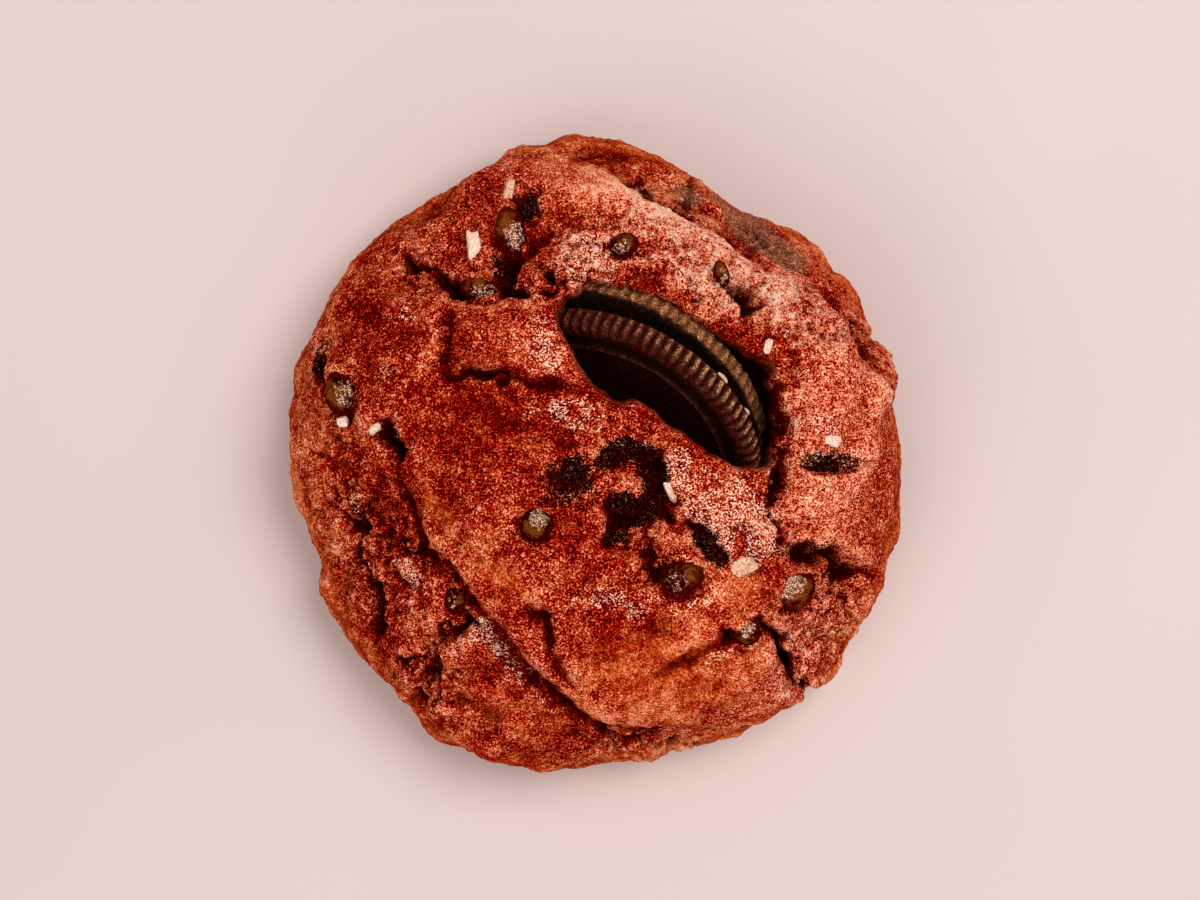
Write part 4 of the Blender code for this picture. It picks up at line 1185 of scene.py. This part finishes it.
def bump(nodes, shader, layers):
    """Chain Bump nodes: each layer is (height, strength, distance in millimetres)."""
    normal = None
    for height, strength, distance in layers:
        node = nodes.add("ShaderNodeBump")
        nodes.feed(node.inputs["Height"], height)
        nodes.feed(node.inputs["Strength"], strength)
        node.inputs["Distance"].default_value = distance * MM
        if normal is not None:
            nodes.join(normal, node.inputs["Normal"])
        normal = node.outputs["Normal"]
    nodes.join(normal, shader.inputs["Normal"])


def crust_brightness(nodes, tone, grain, mark, speckle, calm, lumpy):
    """One brightness for the crust: 0.38, plus the fine grain about its middle times a
    gain, plus shares of the slow tones and the relief's marks, all times 0.8. The gain is
    less where the crust is calm or deep red, and more where it is speckled. The lips, the
    pale lit patches and the steep sides are lightened as painted highlight and sheen; the
    hollows and the deep red are darkened as painted shade, and the lower gain in the deep
    red also stands in for shade."""
    gain = nodes.math("MULTIPLY_ADD", speckle, 0.5, 2.6)
    gain = nodes.math("MULTIPLY_ADD", calm, -1.2, gain)
    gain = nodes.math("MULTIPLY_ADD", mark["deep"], -0.3, gain)
    bright = nodes.vary(0.38, grain["Height"], gain)
    for part, share in ((tone["Broad"], 0.08), (tone["Middle"], 0.12), (tone["Small"], 0.12),
                        (lumpy, 0.24), (mark["crag"], 0.07), (mark["lip"], 0.16),
                        (mark["tan"], 0.12), (mark["pale"], 0.20), (mark["side"], 0.10),
                        (speckle, 0.08), (mark["hollow"], -0.24), (mark["deep"], -0.09)):
        bright = nodes.math("MULTIPLY_ADD", part, share, bright)
    return nodes.math("MULTIPLY", bright, 0.8)


def dough_finish():
    """Red-brown baked crust. Its brightness runs through the crust's colours, or through
    tanner ones where it is well browned. Over that lie pale sugary specks and painted glints
    on the light grains, a smooth grey-brown film of cocoa, near-black wafer dust with a few
    pale specks, and black-red painted shade in the hollows."""
    material, nodes, shader, tone, grain = new_material("baked_dough", 0.5, 0.0, 8.0, 0.25)
    mark = {name: nodes.mark(name) for name in ("hollow", "lip", "frost_and_sheen", "smear", "side",
                                                "deep", "tan", "pale", "dull", "crag")}
    speckle = nodes.math("MULTIPLY_ADD", tone["Small"], 0.6, mark["frost_and_sheen"])
    speckle = nodes.stretch(speckle, 0.5, 1.3)
    calm = nodes.math("MAXIMUM", mark["side"], nodes.math("MULTIPLY", mark["tan"], 0.8))
    lumpy = nodes.math("MULTIPLY", nodes.math("SUBTRACT", tone["Small"], 0.5), mark["crag"])
    bright = crust_brightness(nodes, tone, grain, mark, speckle, calm, lumpy)
    orange = nodes.vary(calm, tone["Middle"], 1.0, clamp=True)
    colour = nodes.blend(orange, nodes.ramp(bright, CRUST_COLOURS),
                         nodes.ramp(bright, BROWNED_COLOURS))

    # pale sugary specks and painted glints on the light grains, most where the frost patches lay a
    # painted sheen
    sugar_glint = nodes.stretch(nodes.math("MULTIPLY", grain["Light"], speckle), 0.2, 0.75, 0.0, 0.85)
    colour = nodes.blend(sugar_glint, colour, rgb(255, 216, 186))

    film = nodes.stretch(nodes.vary(mark["dull"], tone["Middle"], 0.5), 0.2, 0.8)
    cocoa = nodes.blend(grain["Light"], rgb(122, 66, 44), rgb(188, 128, 98))
    colour = nodes.blend(nodes.math("MULTIPLY", film, 0.85), colour, cocoa)

    dust = nodes.vary(mark["smear"], grain["Height"], -1.6)
    dust = nodes.math("MULTIPLY_ADD", tone["Small"], -0.35, dust)
    colour = nodes.blend(nodes.stretch(dust, 0.12, 0.62), colour,
                         nodes.ramp(grain["Height"], DUST_COLOURS))

    # black-red painted shade in the hollows and inside the slot
    shade = nodes.math("MULTIPLY", mark["hollow"], 0.55, clamp=True)
    colour = nodes.blend(shade, colour, rgb(52, 1, 0))
    nodes.join(colour, shader.inputs["Base Color"])

    nodes.join(nodes.math("MULTIPLY_ADD", grain["Light"], -0.15, 0.55), shader.inputs["Roughness"])
    shine = nodes.math("MULTIPLY", nodes.math("POWER", grain["Light"], 2.0),
                       nodes.math("MULTIPLY_ADD", speckle, 0.3, 0.03))
    shine = nodes.math("MULTIPLY", shine, nodes.math("SUBTRACT", 1.0, mark["hollow"], clamp=True))
    nodes.join(shine, shader.inputs["Coat Weight"])
    shader.inputs["Coat Roughness"].default_value = 0.35
    bump(nodes, shader, [(tone["Small"], 0.3, 0.5), (lumpy, 0.5, 0.7), (grain["Height"], 0.8, 0.3)])
    return material


def wafer_finish(name, light, dark, glints, gloss):
    """Very dark cocoa wafer: fine pores, brown with painted highlights and glints on its
    ridges, and painted shade in its plain field, between the ridges and on the side that
    holds the cream."""
    material, nodes, shader, tone, grain = new_material(name, 0.4, 0.02, 3.0, 0.22)
    colour = nodes.blend(tone["Small"], dark, light)
    # painted highlight on the ridges
    ridge_highlight = nodes.math("POWER", nodes.mark("ridge_highlight"), 3.0)
    ridge_highlight = nodes.math("MULTIPLY", ridge_highlight, nodes.math("MULTIPLY_ADD", tone["Middle"], 0.7, 0.5))
    colour = nodes.blend(nodes.math("MULTIPLY", ridge_highlight, 0.9), colour, rgb(172, 96, 54))
    # painted glints on the ridges, and a few elsewhere
    spots = nodes.math("MULTIPLY", grain["Light"],
                       nodes.math("MULTIPLY_ADD", tone["Middle"], 0.12, ridge_highlight))
    spots = nodes.math("MULTIPLY", spots, glints, clamp=True)
    colour = nodes.blend(spots, colour, rgb(240, 190, 140))
    colour = nodes.blend(nodes.math("MULTIPLY", grain["Dark"], 0.5), colour, rgb(28, 2, 0))
    # painted shade between the ridges, over the plain field and on the inner side
    valley_shade, shaded = nodes.mark("valley_shade"), nodes.mark("shaded")
    colour = nodes.blend(nodes.math("MULTIPLY", valley_shade, 0.9), colour, rgb(34, 2, 0))
    colour = nodes.blend(nodes.math("MULTIPLY", shaded, 0.9), colour, rgb(12, 1, 0))
    nodes.join(colour, shader.inputs["Base Color"])
    shine = nodes.math("SUBTRACT", 1.0, nodes.math("MAXIMUM", shaded, valley_shade), clamp=True)
    nodes.join(nodes.math("MULTIPLY", shine, gloss), shader.inputs["Coat Weight"])
    shader.inputs["Coat Roughness"].default_value = 0.4
    bump(nodes, shader, [(tone["Small"], 0.3, 0.2), (grain["Height"], 0.6, 0.2)])
    return material


def chip_finish():
    """Baked-in dark chocolate: dark red-brown grain, a painted golden-brown highlight on its
    lit side, pale sugary specks with painted glints on the other side, and stained by the
    dough where it meets it."""
    material, nodes, shader, tone, grain = new_material("dark_chocolate", 0.4, 0.0, 5.0, 0.2)
    colour = nodes.ramp(tone["Small"], CHOCOLATE_COLOURS)
    # painted golden-brown highlight on the lit side
    lit_amber = nodes.vary(nodes.mark("lit_amber"), tone["Middle"], 0.6)
    colour = nodes.blend(nodes.stretch(lit_amber, 0.2, 0.9, 0.0, 0.85), colour, rgb(160, 82, 26))
    # sugary crust with a painted sheen on the side away from the lit one
    sugar_sheen = nodes.stretch(nodes.vary(nodes.mark("frost_and_sheen"), tone["Small"], 0.8), 0.35, 1.1)
    colour = nodes.blend(nodes.math("MULTIPLY", sugar_sheen, 0.5), colour, rgb(206, 124, 84))
    stain = nodes.vary(nodes.mark("rim"), tone["Small"], 0.9)
    colour = nodes.blend(nodes.stretch(stain, 0.2, 0.9), colour, rgb(96, 6, 2))
    colour = nodes.blend(nodes.math("MULTIPLY", grain["Dark"], 0.6), colour, rgb(42, 0, 0))
    # painted glints as pale flecks, most on that sugary side
    flecks = nodes.math("MULTIPLY", grain["Light"], nodes.math("MULTIPLY_ADD", sugar_sheen, 0.9, 0.06))
    colour = nodes.blend(nodes.stretch(flecks, 0.2, 0.7), colour, rgb(255, 222, 192))
    nodes.join(colour, shader.inputs["Base Color"])
    bump(nodes, shader, [(tone["Small"], 0.6, 0.6), (grain["Height"], 0.7, 0.3)])
    return material


def crumb_finish():
    """Broken wafer: near black with a few pale specks, stained red where it meets the dough."""
    material, nodes, shader, tone, grain = new_material("wafer_crumb", 0.6, 0.0, 6.0, 0.2)
    colour = nodes.ramp(grain["Height"], CRUMB_COLOURS)
    stain = nodes.vary(nodes.mark("rim"), tone["Small"], 0.8)
    colour = nodes.blend(nodes.stretch(stain, 0.4, 1.1), colour, rgb(84, 8, 3))
    nodes.join(colour, shader.inputs["Base Color"])
    bump(nodes, shader, [(tone["Small"], 0.5, 0.4), (grain["Height"], 0.7, 0.3)])
    return material


def white_finish(name, base, edge, spotted):
    """White chocolate or cream: nearly plain, browner towards its edge, with fine dots."""
    material, nodes, shader, tone, grain = new_material(name, 0.5, 0.1, 3.0, 0.22)
    worn = nodes.vary(nodes.mark("rim"), tone["Middle"], 0.9)
    colour = nodes.blend(nodes.stretch(worn, 0.1, 0.9), base, edge)
    colour = nodes.blend(nodes.math("MULTIPLY", grain["Dark"], spotted), colour, rgb(150, 60, 34))
    colour = nodes.blend(nodes.math("MULTIPLY", grain["Light"], 0.5), colour, rgb(255, 236, 220))
    nodes.join(colour, shader.inputs["Base Color"])
    bump(nodes, shader, [(tone["Small"], 0.4, 0.3), (grain["Height"], 0.5, 0.2)])
    return material


def stage_finish():
    """Plain pale floor with hardly any change of tone."""
    material, nodes, shader, tone, _ = new_material("pale_floor", 0.5, 0.3, 120.0)
    colour = nodes.blend(tone["Broad"], rgb(218, 200, 196), rgb(222, 204, 200))
    nodes.join(colour, shader.inputs["Base Color"])
    return material


# ---- stage, light and camera, in metres ------------------------------------------------

FLOOR_SIZE = 3.0
SKY_COLOUR = (1.0, 0.95, 0.93, 1.0)
SKY_STRENGTH = 0.46

# place, width, watts, colour
LIGHTS = {
    "window": ((0.38, 0.26, 0.90), 0.60, 6.2, (1.0, 0.97, 0.94)),
    "fill": ((-0.40, -0.45, 0.70), 0.60, 2.2, (1.0, 0.95, 0.88)),
}
LIGHT_AIM = (0.0, 0.0, 0.01)
SENSOR = 36.0            # camera's width of film and lens, in millimetres
LENS = 79.87
CAMERA_PLACE = np.array([0.376, 0.225, 400.0]) * MM


def add_light(name, place, width, watts, colour):
    """A round soft light that faces the cookie."""
    lamp = bpy.data.lights.new(name, "AREA")
    lamp.shape = "DISK"
    lamp.size = width
    lamp.energy = watts
    lamp.color = colour
    thing = bpy.data.objects.new(name, lamp)
    thing.location = place
    thing.rotation_euler = (Vector(LIGHT_AIM) - Vector(place)).to_track_quat("-Z", "Y").to_euler()
    bpy.context.scene.collection.objects.link(thing)


def build_stage():
    """A pale floor under a soft even sky, with two soft lights."""
    corners = np.array([(-1, -1, 0), (1, -1, 0), (1, 1, 0), (-1, 1, 0)]) * (FLOOR_SIZE / 2.0 / MM)
    floor = make_mesh("floor", corners, [[0, 1, 2, 3]], stage_finish(), smooth=False)
    world = bpy.data.worlds.new("soft_room")
    bpy.context.scene.world = world
    world.use_nodes = True
    sky = world.node_tree.nodes["Background"]
    sky.inputs["Color"].default_value = SKY_COLOUR
    sky.inputs["Strength"].default_value = SKY_STRENGTH
    for name, (place, width, watts, colour) in LIGHTS.items():
        add_light(name, place, width, watts, colour)


def add_camera():
    """Straight above the cookie, whose middle lies a little left of the frame's own."""
    lens = bpy.data.cameras.new("camera")
    lens.sensor_width = SENSOR
    lens.lens = LENS
    camera = bpy.data.objects.new("camera", lens)
    camera.location = CAMERA_PLACE + SHIFT * MM
    bpy.context.scene.collection.objects.link(camera)
    bpy.context.scene.camera = camera


# ---- the cookie ------------------------------------------------------------------------

bpy.context.scene.view_settings.view_transform = "Standard"
add_camera()
build_stage()

hand_over(dough_surface(dough_finish()), "dough")

cocoa = wafer_finish("cocoa_wafer", rgb(100, 28, 12), rgb(52, 6, 2), 1.0, 0.15)
dusty = wafer_finish("dusty_wafer", rgb(120, 76, 44), rgb(70, 36, 19), 0.6, 0.0)
cream = white_finish("cream", rgb(226, 200, 172), rgb(200, 160, 130), 0.2)
hand_over(wafer("wafer_front_ridged", cocoa, True), "wafer_front")
hand_over(wafer("wafer_back_ridged", dusty, False), "wafer_back")
hand_over(cream_layer(cream), "cream")

dark = chip_finish()
white = white_finish("white_chocolate", rgb(255, 222, 198), rgb(226, 146, 110), 0.3)
crumb = crumb_finish()
toasted = white_finish("toasted_white", rgb(244, 190, 152), rgb(196, 108, 58), 0.5)
for rows, kind, finish, slot in ((CHIPS, "chip", dark, "dark_chocolate"),
                                 (WHITE_CHIPS, "bar", white, "white_chocolate"),
                                 (CRUMBS, "crumb", crumb, "wafer_crumb")):
    for order, row in enumerate(rows):
        look = toasted if row[0] in TOASTED else finish
        hand_over(lump(row, kind, look, 1.7 * order), row[0])
